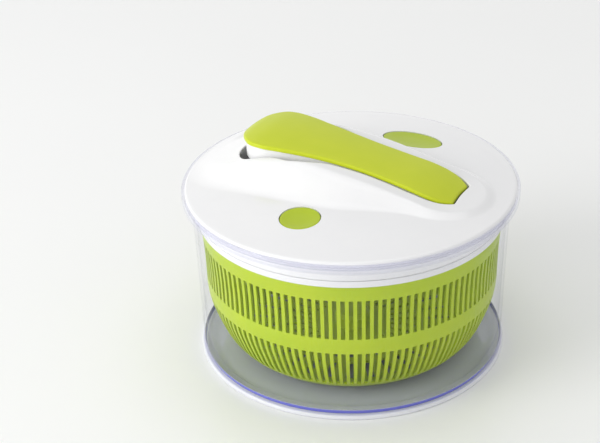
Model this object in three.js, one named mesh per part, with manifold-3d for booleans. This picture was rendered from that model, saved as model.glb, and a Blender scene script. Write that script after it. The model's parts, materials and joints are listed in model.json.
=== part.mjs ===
// Lever-driven salad spinner, millimetres, +Z up, base centre on the table at the origin.
// The lever lies along X: hinge towards +X, free end towards -X.
import * as THREE from "three";
import { mergeVertices } from "three/addons/utils/BufferGeometryUtils.js";
import Module from "manifold-3d";

const wasm = await Module();
wasm.setup();

// ---------------------------------------------------------------- driving sizes
const ROUND_SEGMENTS = 40;          // facets round the large turned parts
const SMALL_SEGMENTS = 12;          // facets round pins, screws and bosses
const FIT_GAP = 0.1;                // gap between parts fixed to each other

const FOOT = { outer: 119, inner: 108, height: 3.3 };
const BOWL = {
  base: 3.5, floorTop: 6, baseRadius: 116.4, shoulderRadius: 120.3, shoulderZ: 124.6,
  wall: 2, rimRadius: 127.3, rimTop: 134.4, ledge: 129.3, rimWall: 1.7,
};
const SPINDLE = { radius: 8, top: 15.9 };
const CUP = { outer: 11, inner: 8.4, bottom: 8.6, top: 18.4, roof: 16.2 };

const SLOT_COUNT = 120;             // vertical slots in each of the two rows
const SLOT_SHARE = 0.54;            // share of the pitch that is open
const BASKET_RIM = 110.2;
const BASKET_WALL = 2;
const BASKET_FLOOR = 8.2;
const FLOOR_SLOTS = 16;

const LID = {
  radius: 125, edgeTop: 135.5, edgeBottom: 131.5, domeRise: 8, shell: 2.4,
  flangeBottom: 129.6, flangeTop: 131.3, flangeRadius: 124.5,
  skirtRadius: 117.2, skirtWall: 2, floorBottom: 116, floorTop: 118,
};
const RIDGE = { spineHinge: 72, spineFree: -78, halfWidth: 33, fall: 28, hingeFall: 9 };
const TROUGH = { gap: 1.5, wall: 2, bottom: 123, swing: 2.4, bulge: 4.5 };

const HINGE = { x: 74, z: 133.5, pin: 2, bore: 2.2 };
const STROKE_DEG = 6;               // lever travel
const COVER = { thick: 3, crown: 2.2, inset: 1.5 };
const BODY = { wall: 2, roof: 1.6 };
const LEVER_SCREWS = [-52, 30];     // x of the screws that hold the cover to the body

const MODULE = 1;                   // gear module, mm
const PINION_TEETH = 10;
const SECTOR_RADIUS = 94;
const SECTOR_TEETH = 2 * SECTOR_RADIUS / MODULE;
const CROWN_TEETH = 20;
const IDLER_TEETH = 41;
const DRUM_TEETH = 16;
const SHAFT_Z = 137;
const SHAFT_REACH = SECTOR_RADIUS + PINION_TEETH * MODULE / 2;
const SHAFT_X = HINGE.x - Math.sqrt(SHAFT_REACH ** 2 - (SHAFT_Z - HINGE.z) ** 2);
const IDLER_DISTANCE = (IDLER_TEETH + DRUM_TEETH) * MODULE / 2;
const IDLER_Y = Math.sqrt(IDLER_DISTANCE ** 2 - SHAFT_X ** 2);
const CROWN_PITCH_Y = IDLER_Y - PINION_TEETH * MODULE / 2;
const CROSS_PIN = 2;

const OUTPUT = { radius: 3, bottom: 107.7, top: 131.2 };
const CLUTCH = { raceOuter: 10.5, raceInner: 8.2, hub: 7.7, rollerRadius: 1.3, rollerOrbit: 6.65 };
const PLATE = { radius: 116.5, rimBottom: 110.5, rimTop: 115.7, discBottom: 112.5, discTop: 114.5 };
const DRIVE_RIBS = 3;               // basket ribs caught between plate lugs

const LOCK = { x: -4, y: -77, radius: 14.7, skirtBottom: 134.8, springY: -84 };
const BRAKE = { x: 19, y: 74, halfLength: 24, halfWidth: 14.5, skirtBottom: 133 };
const BOLT = { bottom: 126, top: 130, halfWidth: 2.5, tip: -28, tail: -72, slope: 1.25 };

// (x, half width) of the lever cover, hinge end first
const COVER_PLAN = [
  [88, 15], [80, 20.3], [70, 22.8], [60, 23.1], [40, 22.3], [13, 22.4], [-10, 24.5], [-30, 27.6],
  [-45, 30.4], [-60, 31.8], [-69, 29.8], [-76, 23.8], [-81.5, 16], [-84.6, 8],
];
// (x, z) of the lever cover's top line
const COVER_TOP = [
  [-95, 156.5], [-88, 161.5], [-80, 166.6], [-70, 168.8], [-50, 168.8], [-30, 166.8], [13, 160.5],
  [40, 155.8], [60, 151.8], [74, 147.6], [88, 142.2], [95, 139.8],
];
// (x, z) of the lower edge of the lever body's side walls
const BODY_BOTTOM = [[-95, 148], [-63, 151], [-30, 150.5], [13, 144], [60, 135.5], [95, 132.5]];
// (x, height above the dome) of the ridge round the lever
const RIDGE_RISE = [
  [-122, 0], [-105, 3.4], [-85, 8.6], [-60, 16], [-28, 18.5], [13, 14.2], [60, 6.8], [88, 2.6],
  [105, 2], [125, 2],
];
// (radius, z) of the basket's outer face, top first
const BASKET_OUTER = [
  [115, BASKET_RIM], [113.6, 98], [112.1, 65], [111.6, 52.5], [107.5, 38], [97.4, 17],
  [90, 9.4], [84, BASKET_FLOOR], [14, BASKET_FLOOR],
];

// ---------------------------------------------------------------- small helpers
const group = new THREE.Group();

/** Straight-line value of a table of [x, y] rows at x. */
function along(table, x) {
  const last = table.length - 1;
  const rising = table[0][0] < table[last][0];
  const rows = rising ? table : [...table].reverse();
  if (x <= rows[0][0]) return rows[0][1];
  for (let i = 1; i <= last; i += 1) {
    if (x <= rows[i][0]) {
      const share = (x - rows[i - 1][0]) / (rows[i][0] - rows[i - 1][0]);
      return rows[i - 1][1] + share * (rows[i][1] - rows[i - 1][1]);
    }
  }
  return rows[last][1];
}

/** Smooth step from 0 to 1. */
function ease(t) {
  const s = Math.min(1, Math.max(0, t));
  return s * s * (3 - 2 * s);
}

/** Manifold from vertices and faces, turned to face outwards. */
function solidOf(vertices, faces) {
  let volume = 0;
  for (const [a, b, c] of faces) {
    const [p, q, r] = [vertices[a], vertices[b], vertices[c]];
    volume += p[0] * (q[1] * r[2] - q[2] * r[1]);
    volume += p[1] * (q[2] * r[0] - q[0] * r[2]);
    volume += p[2] * (q[0] * r[1] - q[1] * r[0]);
  }
  const outward = volume > 0 ? faces : faces.map(([a, b, c]) => [a, c, b]);
  return new wasm.Manifold(new wasm.Mesh({
    numProp: 3,
    vertProperties: new Float32Array(vertices.flat()),
    triVerts: new Uint32Array(outward.flat()),
  }));
}

/** Manifold from a three.js geometry. */
function solidFrom(geometry) {
  geometry.deleteAttribute("normal");
  geometry.deleteAttribute("uv");
  const merged = mergeVertices(geometry, 1e-4);
  const position = merged.getAttribute("position");
  const vertices = [];
  for (let i = 0; i < position.count; i += 1) {
    vertices.push([position.getX(i), position.getY(i), position.getZ(i)]);
  }
  const faces = [];
  const index = merged.index.array;
  for (let i = 0; i < index.length; i += 3) {
    faces.push([index[i], index[i + 1], index[i + 2]]);
  }
  return solidOf(vertices, faces);
}

/** Solid turned about Z from an outline of [radius, z]; radius 0 ends sit on the axis. */
function turned(outline, segments = ROUND_SEGMENTS) {
  const vertices = [];
  const rings = [];
  for (const [radius, z] of outline) {
    const ring = [];
    if (radius < 1e-6) {
      vertices.push([0, 0, z]);
      for (let k = 0; k < segments; k += 1) ring.push(vertices.length - 1);
    } else {
      for (let k = 0; k < segments; k += 1) {
        const a = (2 * Math.PI * k) / segments;
        vertices.push([radius * Math.cos(a), radius * Math.sin(a), z]);
        ring.push(vertices.length - 1);
      }
    }
    rings.push(ring);
  }
  const faces = [];
  const open = outline[0][0] < 1e-6 && outline[outline.length - 1][0] < 1e-6;
  const spans = open ? rings.length - 1 : rings.length;
  for (let i = 0; i < spans; i += 1) {
    const low = rings[i];
    const high = rings[(i + 1) % rings.length];
    for (let k = 0; k < segments; k += 1) {
      const next = (k + 1) % segments;
      if (low[k] !== low[next]) faces.push([low[k], low[next], high[next]]);
      if (high[k] !== high[next]) faces.push([low[k], high[next], high[k]]);
    }
  }
  return solidOf(vertices, faces);
}

/** Upright prism over a plan outline of [x, y]. */
function prism(plan, bottom, top) {
  const clockwise = THREE.ShapeUtils.isClockWise(plan.map(([x, y]) => new THREE.Vector2(x, y)));
  const outline = clockwise ? [...plan].reverse() : plan;
  const points = outline.map(([x, y]) => new THREE.Vector2(x, y));
  const triangles = THREE.ShapeUtils.triangulateShape(points, []);
  const count = outline.length;
  const vertices = [];
  for (const z of [bottom, top]) {
    for (const [x, y] of outline) vertices.push([x, y, z]);
  }
  const faces = [];
  for (const [a, b, c] of triangles) {
    faces.push([a, c, b]);
    faces.push([a + count, b + count, c + count]);
  }
  for (let i = 0; i < count; i += 1) {
    const j = (i + 1) % count;
    faces.push([i, j, j + count]);
    faces.push([i, j + count, i + count]);
  }
  return solidOf(vertices, faces);
}

/** Prism over an outline in the XZ plane, from y0 to y1. */
function sidePrism(outline, y0, y1) {
  return prism(outline.map(([x, z]) => [x, -z]), y0, y1).rotate([-90, 0, 0]);
}

/** Box from two corners. */
function box(x0, x1, y0, y1, z0, z1) {
  const shape = new THREE.BoxGeometry(x1 - x0, y1 - y0, z1 - z0);
  shape.translate((x0 + x1) / 2, (y0 + y1) / 2, (z0 + z1) / 2);
  return solidFrom(shape);
}

/** Round points about a centre. */
function circle(radius, x = 0, y = 0, segments = SMALL_SEGMENTS) {
  const points = [];
  for (let k = 0; k < segments; k += 1) {
    const a = (2 * Math.PI * k) / segments;
    points.push([x + radius * Math.cos(a), y + radius * Math.sin(a)]);
  }
  return points;
}

/** Upright cylinder. */
function post(radius, z0, z1, x = 0, y = 0, segments = SMALL_SEGMENTS) {
  return prism(circle(radius, x, y, segments), z0, z1);
}

/** Upright tube. */
function tube(outer, inner, z0, z1, x = 0, y = 0, segments = SMALL_SEGMENTS) {
  return post(outer, z0, z1, x, y, segments).subtract(post(inner, z0 - 1, z1 + 1, x, y, segments));
}

/** Cylinder lying along Y, centred on (x, z). */
function barrel(radius, y0, y1, x, z, segments = SMALL_SEGMENTS) {
  return sidePrism(circle(radius, x, z, segments), y0, y1);
}

/** Ellipse points. */
function oval(a, b, x, y, segments = 20) {
  return circle(1, 0, 0, segments).map(([u, v]) => [x + a * u, y + b * v]);
}

/** Round-wire coil standing along Z. */
function coil(x, y, mean, wire, z0, z1, turns) {
  const steps = turns * 8;
  const sides = 4;
  const vertices = [];
  const rise = z1 - z0 - 2 * wire;
  for (let i = 0; i <= steps; i += 1) {
    const a = (2 * Math.PI * turns * i) / steps;
    const z = z0 + wire + (rise * i) / steps;
    for (let k = 0; k < sides; k += 1) {
      const b = (2 * Math.PI * k) / sides;
      const r = mean + wire * Math.cos(b);
      vertices.push([x + r * Math.cos(a), y + r * Math.sin(a), z + wire * Math.sin(b)]);
    }
  }
  const faces = [];
  for (let i = 0; i < steps; i += 1) {
    for (let k = 0; k < sides; k += 1) {
      const n = (k + 1) % sides;
      const [p, q, r, s] = [i * sides + k, i * sides + n, (i + 1) * sides + n, (i + 1) * sides + k];
      faces.push([p, q, r]);
      faces.push([p, r, s]);
    }
  }
  const end = steps * sides;
  for (let k = 1; k < sides - 1; k += 1) {
    faces.push([0, k + 1, k]);
    faces.push([end, end + k, end + k + 1]);
  }
  return solidOf(vertices, faces);
}

// ---------------------------------------------------------------- materials and nodes
const MATERIALS = {
  clear: new THREE.MeshStandardMaterial({ color: 0xdfe6f0, roughness: 0.06, metalness: 0 }),
  white: new THREE.MeshStandardMaterial({ color: 0xf1f1f3, roughness: 0.2, metalness: 0 }),
  lime: new THREE.MeshStandardMaterial({ color: 0xb9cc38, roughness: 0.32, metalness: 0 }),
  acetal: new THREE.MeshStandardMaterial({ color: 0xe7e6df, roughness: 0.45, metalness: 0 }),
  steel: new THREE.MeshStandardMaterial({ color: 0xb6b8bb, roughness: 0.3, metalness: 1 }),
  rubber: new THREE.MeshStandardMaterial({ color: 0x55585c, roughness: 0.8, metalness: 0 }),
  foot: new THREE.MeshStandardMaterial({ color: 0xe9edf1, roughness: 0.5, metalness: 0 }),
};

/** Adds one closed solid to the assembly as a named node. */
function addNode(name, solid, material) {
  const mesh = solid.getMesh();
  const geometry = new THREE.BufferGeometry();
  const stride = mesh.numProp;
  const positions = new Float32Array((mesh.vertProperties.length / stride) * 3);
  for (let i = 0; i < positions.length / 3; i += 1) {
    positions[3 * i] = mesh.vertProperties[stride * i];
    positions[3 * i + 1] = mesh.vertProperties[stride * i + 1];
    positions[3 * i + 2] = mesh.vertProperties[stride * i + 2];
  }
  geometry.setAttribute("position", new THREE.BufferAttribute(positions, 3));
  geometry.setIndex(new THREE.BufferAttribute(new Uint32Array(mesh.triVerts), 1));
  geometry.computeVertexNormals();
  const node = new THREE.Mesh(geometry, MATERIALS[material]);
  node.name = name;
  group.add(node);
}

// ---------------------------------------------------------------- shared surfaces
/** Height of the lid's top face. */
function lidTop(x, y) {
  const radius = Math.hypot(x, y);
  const dome = LID.edgeTop + LID.domeRise * (1 - (radius / LID.radius) ** 2);
  const nearest = Math.min(RIDGE.spineHinge, Math.max(RIDGE.spineFree, x));
  const away = Math.hypot(x - nearest, y);
  const fall = RIDGE.fall + (RIDGE.hingeFall - RIDGE.fall) * ease(x / RIDGE.spineHinge);
  const rise = along(RIDGE_RISE, x) * (1 - ease((away - RIDGE.halfWidth) / fall));
  const edge = ease((LID.radius - radius) / 6);
  return dome + rise * edge;
}

/** Solid between a flat bottom and the lid's top face lowered by drop. */
function underLid(bottom, radius, drop) {
  const radii = [24, 36, 48, 60, 72, 88, 104, 118].filter((r) => r < radius - 3);
  radii.push(radius);
  const segments = ROUND_SEGMENTS;
  const vertices = [[0, 0, lidTop(0, 0) - drop], [0, 0, bottom]];
  for (const r of radii) {
    for (let k = 0; k < segments; k += 1) {
      const a = (2 * Math.PI * k) / segments;
      const [x, y] = [r * Math.cos(a), r * Math.sin(a)];
      vertices.push([x, y, lidTop(x, y) - drop]);
    }
  }
  const base = vertices.length;
  for (let k = 0; k < segments; k += 1) {
    const a = (2 * Math.PI * k) / segments;
    vertices.push([radius * Math.cos(a), radius * Math.sin(a), bottom]);
  }
  const faces = [];
  for (let k = 0; k < segments; k += 1) {
    const n = (k + 1) % segments;
    faces.push([0, 2 + k, 2 + n]);
    faces.push([1, base + n, base + k]);
    for (let i = 0; i < radii.length - 1; i += 1) {
      const [inner, outer] = [2 + i * segments, 2 + (i + 1) * segments];
      faces.push([inner + k, outer + k, outer + n]);
      faces.push([inner + k, outer + n, inner + n]);
    }
    const rim = 2 + (radii.length - 1) * segments;
    faces.push([rim + k, base + k, base + n]);
    faces.push([rim + k, base + n, rim + n]);
  }
  return solidOf(vertices, faces);
}

/** Plan of the lever cover moved outwards by offset. */
function coverPlan(offset) {
  const far = COVER_PLAN.map(([x, half]) => [x, half]);
  const near = COVER_PLAN.map(([x, half]) => [x, -half]).reverse();
  const loop = [...near, ...far];
  const count = loop.length;
  return loop.map(([x, y], i) => {
    const before = loop[(i + count - 1) % count];
    const after = loop[(i + 1) % count];
    const corner = i === 0 || i === count - 1;
    const [tx, ty] = [after[0] - before[0], after[1] - before[1]];
    const length = Math.hypot(tx, ty);
    const reach = corner ? offset * 1.15 : offset;
    return [x + (reach * ty) / length, y - (reach * tx) / length];
  });
}

/** Plan of the trough: the cover's plan, wider beside the grip, with room for the free end's swing. */
function troughPlan(offset) {
  return coverPlan(offset).map(([x, y]) => {
    const wider = TROUGH.bulge * ease(-x / 26) * (1 - ease((-x - 32) / 18));
    return [x - TROUGH.swing * ease((-x - 40) / 30), y + Math.sign(y) * wider];
  });
}

/** Slab following the cover's top line between two height functions of (x, y). */
function leverSlab(high, low) {
  const xs = COVER_TOP.map(([x]) => x).concat([-8]).sort((a, b) => a - b);
  const ys = [-36, -15, 15, 36];
  const vertices = [];
  for (const surface of [high, low]) {
    for (const x of xs) {
      for (const y of ys) vertices.push([x, y, surface(x, y)]);
    }
  }
  const [nx, ny] = [xs.length, ys.length];
  const shift = nx * ny;
  const at = (i, j) => i * ny + j;
  const faces = [];
  const quad = (a, b, c, d) => faces.push([a, b, c], [a, c, d]);
  for (let i = 0; i < nx - 1; i += 1) {
    for (let j = 0; j < ny - 1; j += 1) {
      quad(at(i, j), at(i + 1, j), at(i + 1, j + 1), at(i, j + 1));
      quad(at(i, j + 1) + shift, at(i + 1, j + 1) + shift, at(i + 1, j) + shift, at(i, j) + shift);
    }
    quad(at(i, 0) + shift, at(i + 1, 0) + shift, at(i + 1, 0), at(i, 0));
    quad(at(i, ny - 1), at(i + 1, ny - 1), at(i + 1, ny - 1) + shift, at(i, ny - 1) + shift);
  }
  for (let j = 0; j < ny - 1; j += 1) {
    quad(at(0, j) + shift, at(0, j), at(0, j + 1), at(0, j + 1) + shift);
    quad(at(nx - 1, j), at(nx - 1, j) + shift, at(nx - 1, j + 1) + shift, at(nx - 1, j + 1));
  }
  return solidOf(vertices, faces);
}

/** Height of the cover's top face. */
function coverTop(x, y) {
  return along(COVER_TOP, x) - COVER.crown * (y / 32) ** 2;
}

// ---------------------------------------------------------------- bowl
function buildBowl() {
  const b = BOWL;
  const innerWall = b.shoulderRadius - b.wall;
  const bowl = turned([
    [0, b.base], [b.baseRadius - 1, b.base], [b.baseRadius, b.base + 1.2], [118.4, 64],
    [b.shoulderRadius, b.shoulderZ], [122.2, 125.6], [126.2, 126.6], [b.rimRadius, 128],
    [b.rimRadius, b.rimTop - 0.5], [b.rimRadius - 0.8, b.rimTop], [b.rimRadius - b.rimWall, b.rimTop - 0.6],
    [b.rimRadius - b.rimWall, b.ledge], [innerWall + 0.6, b.ledge], [innerWall, b.ledge - 0.6],
    [innerWall, b.shoulderZ], [116.4, 64], [b.baseRadius - b.wall, 11], [111.4, 7], [107.5, b.floorTop],
    [SPINDLE.radius + 1.4, b.floorTop], [SPINDLE.radius, b.floorTop + 1.6], [SPINDLE.radius - 1, SPINDLE.top - 1],
    [SPINDLE.radius - 2.4, SPINDLE.top], [0, SPINDLE.top],
  ]);
  addNode("outer_bowl", bowl, "clear");

  const foot = turned([
    [FOOT.inner, 0], [FOOT.outer - 0.5, 0], [FOOT.outer, 0.6], [FOOT.outer - 0.6, FOOT.height],
    [FOOT.inner, FOOT.height],
  ]);
  addNode("foot_ring", foot, "foot");
}

// ---------------------------------------------------------------- basket
/** Basket shell with two rows of slots, built column by column. */
function basketShell() {
  const outer = BASKET_OUTER;
  const inner = [
    [outer[0][0] - BASKET_WALL, BASKET_RIM], [outer[1][0] - BASKET_WALL, 98],
    [outer[2][0] - BASKET_WALL, 65], [outer[3][0] - BASKET_WALL, 52.5],
    [outer[4][0] - BASKET_WALL, 38.4], [outer[5][0] - BASKET_WALL + 0.3, 18],
    [89, 11.2], [83.4, BASKET_FLOOR + BASKET_WALL], [15.5, BASKET_FLOOR + BASKET_WALL],
  ];
  const slotted = new Set([1, 3, 4]);       // profile spans that carry slots
  const fine = new Set([1, 2, 3, 4, 5]);    // profile rows with a vertex at every slot edge
  const columns = 2 * SLOT_COUNT;
  const pitch = (2 * Math.PI) / SLOT_COUNT;
  const rows = outer.length;
  const vertices = [];
  const index = new Map();
  const place = (side, row, k) => {
    const [radius, z] = (side === 0 ? outer : inner)[row];
    const turn = Math.floor(k / 2) * pitch;
    const a = turn + (k % 2 ? pitch * (1 - SLOT_SHARE) : 0);
    index.set(`${side}:${row}:${k}`, vertices.length);
    vertices.push([radius * Math.cos(a), radius * Math.sin(a), z]);
  };
  for (const side of [0, 1]) {
    for (let row = 0; row < rows; row += 1) {
      for (let k = 0; k < columns; k += fine.has(row) ? 1 : 4) place(side, row, k);
    }
  }
  const at = (side, row, k) => index.get(`${side}:${row}:${k % columns}`);
  const faces = [];
  const triangle = (side, a, b, c) => faces.push(side === 0 ? [a, b, c] : [a, c, b]);
  const quad = (a, b, c, d) => faces.push([a, b, c], [a, c, d]);
  // Joins a row with a vertex at every slot edge to a row with one in four.
  const stitch = (side, fineRow, coarseRow) => {
    const face = fineRow > coarseRow ? side : 1 - side;
    for (let k = 0; k < columns; k += 4) {
      const [left, right] = [at(side, coarseRow, k), at(side, coarseRow, k + 4)];
      for (const i of [0, 1]) triangle(face, left, at(side, fineRow, k + i), at(side, fineRow, k + i + 1));
      triangle(face, left, at(side, fineRow, k + 2), right);
      for (const i of [2, 3]) triangle(face, right, at(side, fineRow, k + i), at(side, fineRow, k + i + 1));
    }
  };
  for (let row = 0; row < rows - 1; row += 1) {
    const [upperFine, lowerFine] = [fine.has(row), fine.has(row + 1)];
    if (upperFine !== lowerFine) {
      for (const side of [0, 1]) stitch(side, upperFine ? row : row + 1, upperFine ? row + 1 : row);
      continue;
    }
    const step = upperFine ? 1 : 4;
    for (let k = 0; k < columns; k += step) {
      const gap = slotted.has(row) && k % 2 === 1;
      if (!gap) {
        quad(at(0, row, k), at(0, row + 1, k), at(0, row + 1, k + step), at(0, row, k + step));
        quad(at(1, row, k + step), at(1, row + 1, k + step), at(1, row + 1, k), at(1, row, k));
      } else {
        quad(at(0, row, k), at(0, row + 1, k), at(1, row + 1, k), at(1, row, k));
        quad(at(1, row, k + 1), at(1, row + 1, k + 1), at(0, row + 1, k + 1), at(0, row, k + 1));
        if (!slotted.has(row - 1)) {
          quad(at(0, row, k + 1), at(0, row, k), at(1, row, k), at(1, row, k + 1));
        }
        if (!slotted.has(row + 1)) {
          quad(at(1, row + 1, k + 1), at(1, row + 1, k), at(0, row + 1, k), at(0, row + 1, k + 1));
        }
      }
    }
  }
  for (let k = 0; k < columns; k += 4) {
    quad(at(1, 0, k), at(0, 0, k), at(0, 0, k + 4), at(1, 0, k + 4));
    const last = rows - 1;
    quad(at(0, last, k), at(1, last, k), at(1, last, k + 4), at(0, last, k + 4));
  }
  return solidOf(vertices, faces);
}

function buildBasket() {
  let basket = basketShell();
  const roof = CUP.top + 0.8;
  const crown = turned([
    [0, roof], [CUP.outer + 0.8, roof], [CUP.outer + 0.8, BASKET_FLOOR], [16.5, BASKET_FLOOR],
    [16.5, BASKET_FLOOR + BASKET_WALL], [14, BASKET_FLOOR + BASKET_WALL + 1], [13.6, roof + 1.4],
    [12.6, roof + 2.2], [0, roof + 2.2],
  ], 24);
  basket = basket.add(crown);
  const slot = box(34, 72, -1.5, 1.5, BASKET_FLOOR - 1, BASKET_FLOOR + 4);
  for (let i = 0; i < FLOOR_SLOTS; i += 1) {
    basket = basket.subtract(slot.rotate([0, 0, (360 * i) / FLOOR_SLOTS]));
  }
  const rib = box(109.6, 112.6, -1.5, 1.5, 98.6, BASKET_RIM - 0.4);
  for (let i = 0; i < DRIVE_RIBS; i += 1) {
    basket = basket.add(rib.rotate([0, 0, 30 + (360 * i) / DRIVE_RIBS]));
  }
  addNode("basket", basket, "lime");

  const cup = turned([
    [0, CUP.roof], [CUP.inner - 1, CUP.roof], [CUP.inner, CUP.roof - 1], [CUP.inner + 0.4, CUP.bottom],
    [CUP.outer, CUP.bottom], [CUP.outer, CUP.top - 0.8], [CUP.outer - 0.8, CUP.top], [0, CUP.top],
  ], 24);
  addNode("basket_pivot_cup", cup, "acetal");
}

// ---------------------------------------------------------------- lid
const SCREW_RING = 106;
const SCREW_ANGLES = [0, 60, 120, 180, 240, 300].map((a) => a + 22);

/** Plan point of a lid screw. */
function screwPoint(index) {
  const a = (SCREW_ANGLES[index] * Math.PI) / 180;
  return [SCREW_RING * Math.cos(a), SCREW_RING * Math.sin(a)];
}

function buildLidShell() {
  let shell = underLid(LID.edgeBottom, LID.radius, 0);
  shell = shell.subtract(underLid(LID.edgeBottom - 2, LID.radius - LID.shell, LID.shell));
  const full = underLid(TROUGH.bottom, LID.radius - 1, 0.4);
  const walls = prism(troughPlan(TROUGH.gap + TROUGH.wall), TROUGH.bottom, 190);
  shell = shell.add(walls.intersect(full));
  shell = shell.subtract(prism(troughPlan(TROUGH.gap), 100, 200));
  for (let i = 0; i < SCREW_ANGLES.length; i += 1) {
    const [x, y] = screwPoint(i);
    const boss = post(4, LID.floorTop + 4.2, 150, x, y, 12).intersect(full);
    shell = shell.add(boss);
    shell = shell.subtract(post(1.6, 100, 130, x, y, 8));
  }
  shell = shell.subtract(post(LOCK.radius + 0.5, 100, 200, LOCK.x, LOCK.y, 20));
  shell = shell.subtract(
    prism(oval(BRAKE.halfLength + 0.5, BRAKE.halfWidth + 0.5, BRAKE.x, BRAKE.y), 100, 200),
  );
  const window = BOLT.halfWidth + 0.5;
  shell = shell.subtract(box(
    LOCK.x - window, LOCK.x + window, -36, -22, BOLT.bottom - 0.5, BOLT.top + 0.5,
  ));
  addNode("lid_shell", shell, "white");
}

function buildLidBase() {
  const l = LID;
  let base = turned([
    [0, l.floorBottom], [l.skirtRadius - 0.4, l.floorBottom], [l.skirtRadius, l.floorBottom + 0.6],
    [l.skirtRadius, l.flangeBottom], [l.flangeRadius, l.flangeBottom], [l.flangeRadius, l.flangeTop],
    [l.skirtRadius - l.skirtWall, l.flangeTop], [l.skirtRadius - l.skirtWall, l.floorTop], [0, l.floorTop],
  ]);
  for (const side of [-1, 1]) {
    const [y0, y1] = side < 0 ? [-16.4, -13.4] : [13.4, 16.4];
    const leg = box(HINGE.x - 3.4, HINGE.x + 3.4, y0, y1, l.floorTop - 1, HINGE.z);
    base = base.add(leg).add(barrel(3.4, y0, y1, HINGE.x, HINGE.z));
  }
  base = base.subtract(barrel(HINGE.bore, -30, 30, HINGE.x, HINGE.z));
  const bearing = box(SHAFT_X - 3.6, SHAFT_X + 3.6, -13, -10, l.floorTop - 1, SHAFT_Z + 4);
  base = base.add(bearing);
  base = base.subtract(barrel(CROSS_PIN + 0.15, -20, 0, SHAFT_X, SHAFT_Z));
  for (let i = 0; i < SCREW_ANGLES.length; i += 1) {
    const [x, y] = screwPoint(i);
    base = base.add(post(5.4, l.floorTop - 1, l.floorTop + 4, x, y, 8));
    base = base.subtract(post(1.9, 100, 130, x, y, 8));
    base = base.subtract(post(3.8, 100, l.floorTop + 0.4, x, y, 8));
  }
  base = base.subtract(post(5.1, 100, 130, 0, 0, 20));
  base = base.subtract(post(CROSS_PIN + FIT_GAP, 100, 121, SHAFT_X, IDLER_Y));
  base = base.subtract(post(5.5, 100, 121, BRAKE.x, BRAKE.y, 20));
  base = base.add(tube(10.4, 8.6, l.floorTop - 0.5, 126, BRAKE.x, BRAKE.y, 20));
  base = base.add(tube(5.6, 4.2, l.floorTop - 0.5, 124, LOCK.x, LOCK.springY, 12));
  for (const side of [-1, 1]) {
    const inner = LOCK.x + side * (BOLT.halfWidth + 0.4);
    const outer = inner + side * 2;
    const [x0, x1] = [Math.min(inner, outer), Math.max(inner, outer)];
    base = base.add(box(x0, x1, -60, -36, l.floorTop - 1, BOLT.top + 1));
  }
  base = base.add(box(LOCK.x - 3, LOCK.x + 3, -60, -36, l.floorTop - 1, BOLT.bottom - 0.4));
  addNode("lid_base", base, "white");
}

function buildLidFittings() {
  addNode("output_bush", tube(5, 3.2, LID.floorBottom - 0.3, LID.floorTop + 0.2, 0, 0, 20), "acetal");
  addNode("hinge_pin", barrel(HINGE.pin, -17.2, 17.2, HINGE.x, HINGE.z), "steel");

  const pin = post(CROSS_PIN, LID.floorBottom + 0.2, 131, SHAFT_X, IDLER_Y);
  const head = box(SHAFT_X - 3.6, SHAFT_X + 3.6, IDLER_Y - 1.9, IDLER_Y + 1.9, 130.4, SHAFT_Z + 4);
  const eye = barrel(CROSS_PIN + 0.15, IDLER_Y - 5, IDLER_Y + 5, SHAFT_X, SHAFT_Z);
  addNode("idler_post", pin.add(head).subtract(eye), "acetal");

  for (let i = 0; i < SCREW_ANGLES.length; i += 1) {
    const [x, y] = screwPoint(i);
    const headTop = LID.floorTop + 0.2;
    let screw = post(3.2, headTop - 1.9, headTop, x, y, 10);
    screw = screw.add(post(1.35, headTop - 0.5, 129, x, y, 8));
    screw = screw.subtract(box(x - 2.2, x + 2.2, y - 0.4, y + 0.4, headTop - 3, headTop - 1.1));
    screw = screw.subtract(box(x - 0.4, x + 0.4, y - 2.2, y + 2.2, headTop - 3, headTop - 1.1));
    addNode(`lid_screw_${i + 1}`, screw, "steel");
  }
  const winding = coil(0, 0, 3.6, 0.55, -6.6, 6.6, 6).rotate([90, 0, 0]);
  addNode("lever_spring", winding.translate([HINGE.x, 0, HINGE.z]), "steel");
  addNode("brake_spring", coil(BRAKE.x, BRAKE.y, 6.7, 0.5, 118.2, 130.8, 4), "steel");
  addNode("lock_spring", coil(LOCK.x, LOCK.springY, 3, 0.4, 118.2, 131.8, 5), "steel");
}

// ---------------------------------------------------------------- buttons
/** Hollow push-button cap flush with the lid, over a plan outline. */
function buttonCap(outline, inner, flange, skirtBottom) {
  const flush = underLid(LID.floorTop, LID.radius - 1, 0.3);
  let cap = prism(outline, skirtBottom, 190).intersect(flush);
  const roof = underLid(LID.floorTop, LID.radius - 1, 2.6);
  cap = cap.subtract(prism(inner, skirtBottom - 1, 190).intersect(roof));
  const ring = prism(flange, skirtBottom, skirtBottom + 1.3);
  return cap.add(ring.subtract(prism(inner, skirtBottom - 1, skirtBottom + 3)));
}

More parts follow.
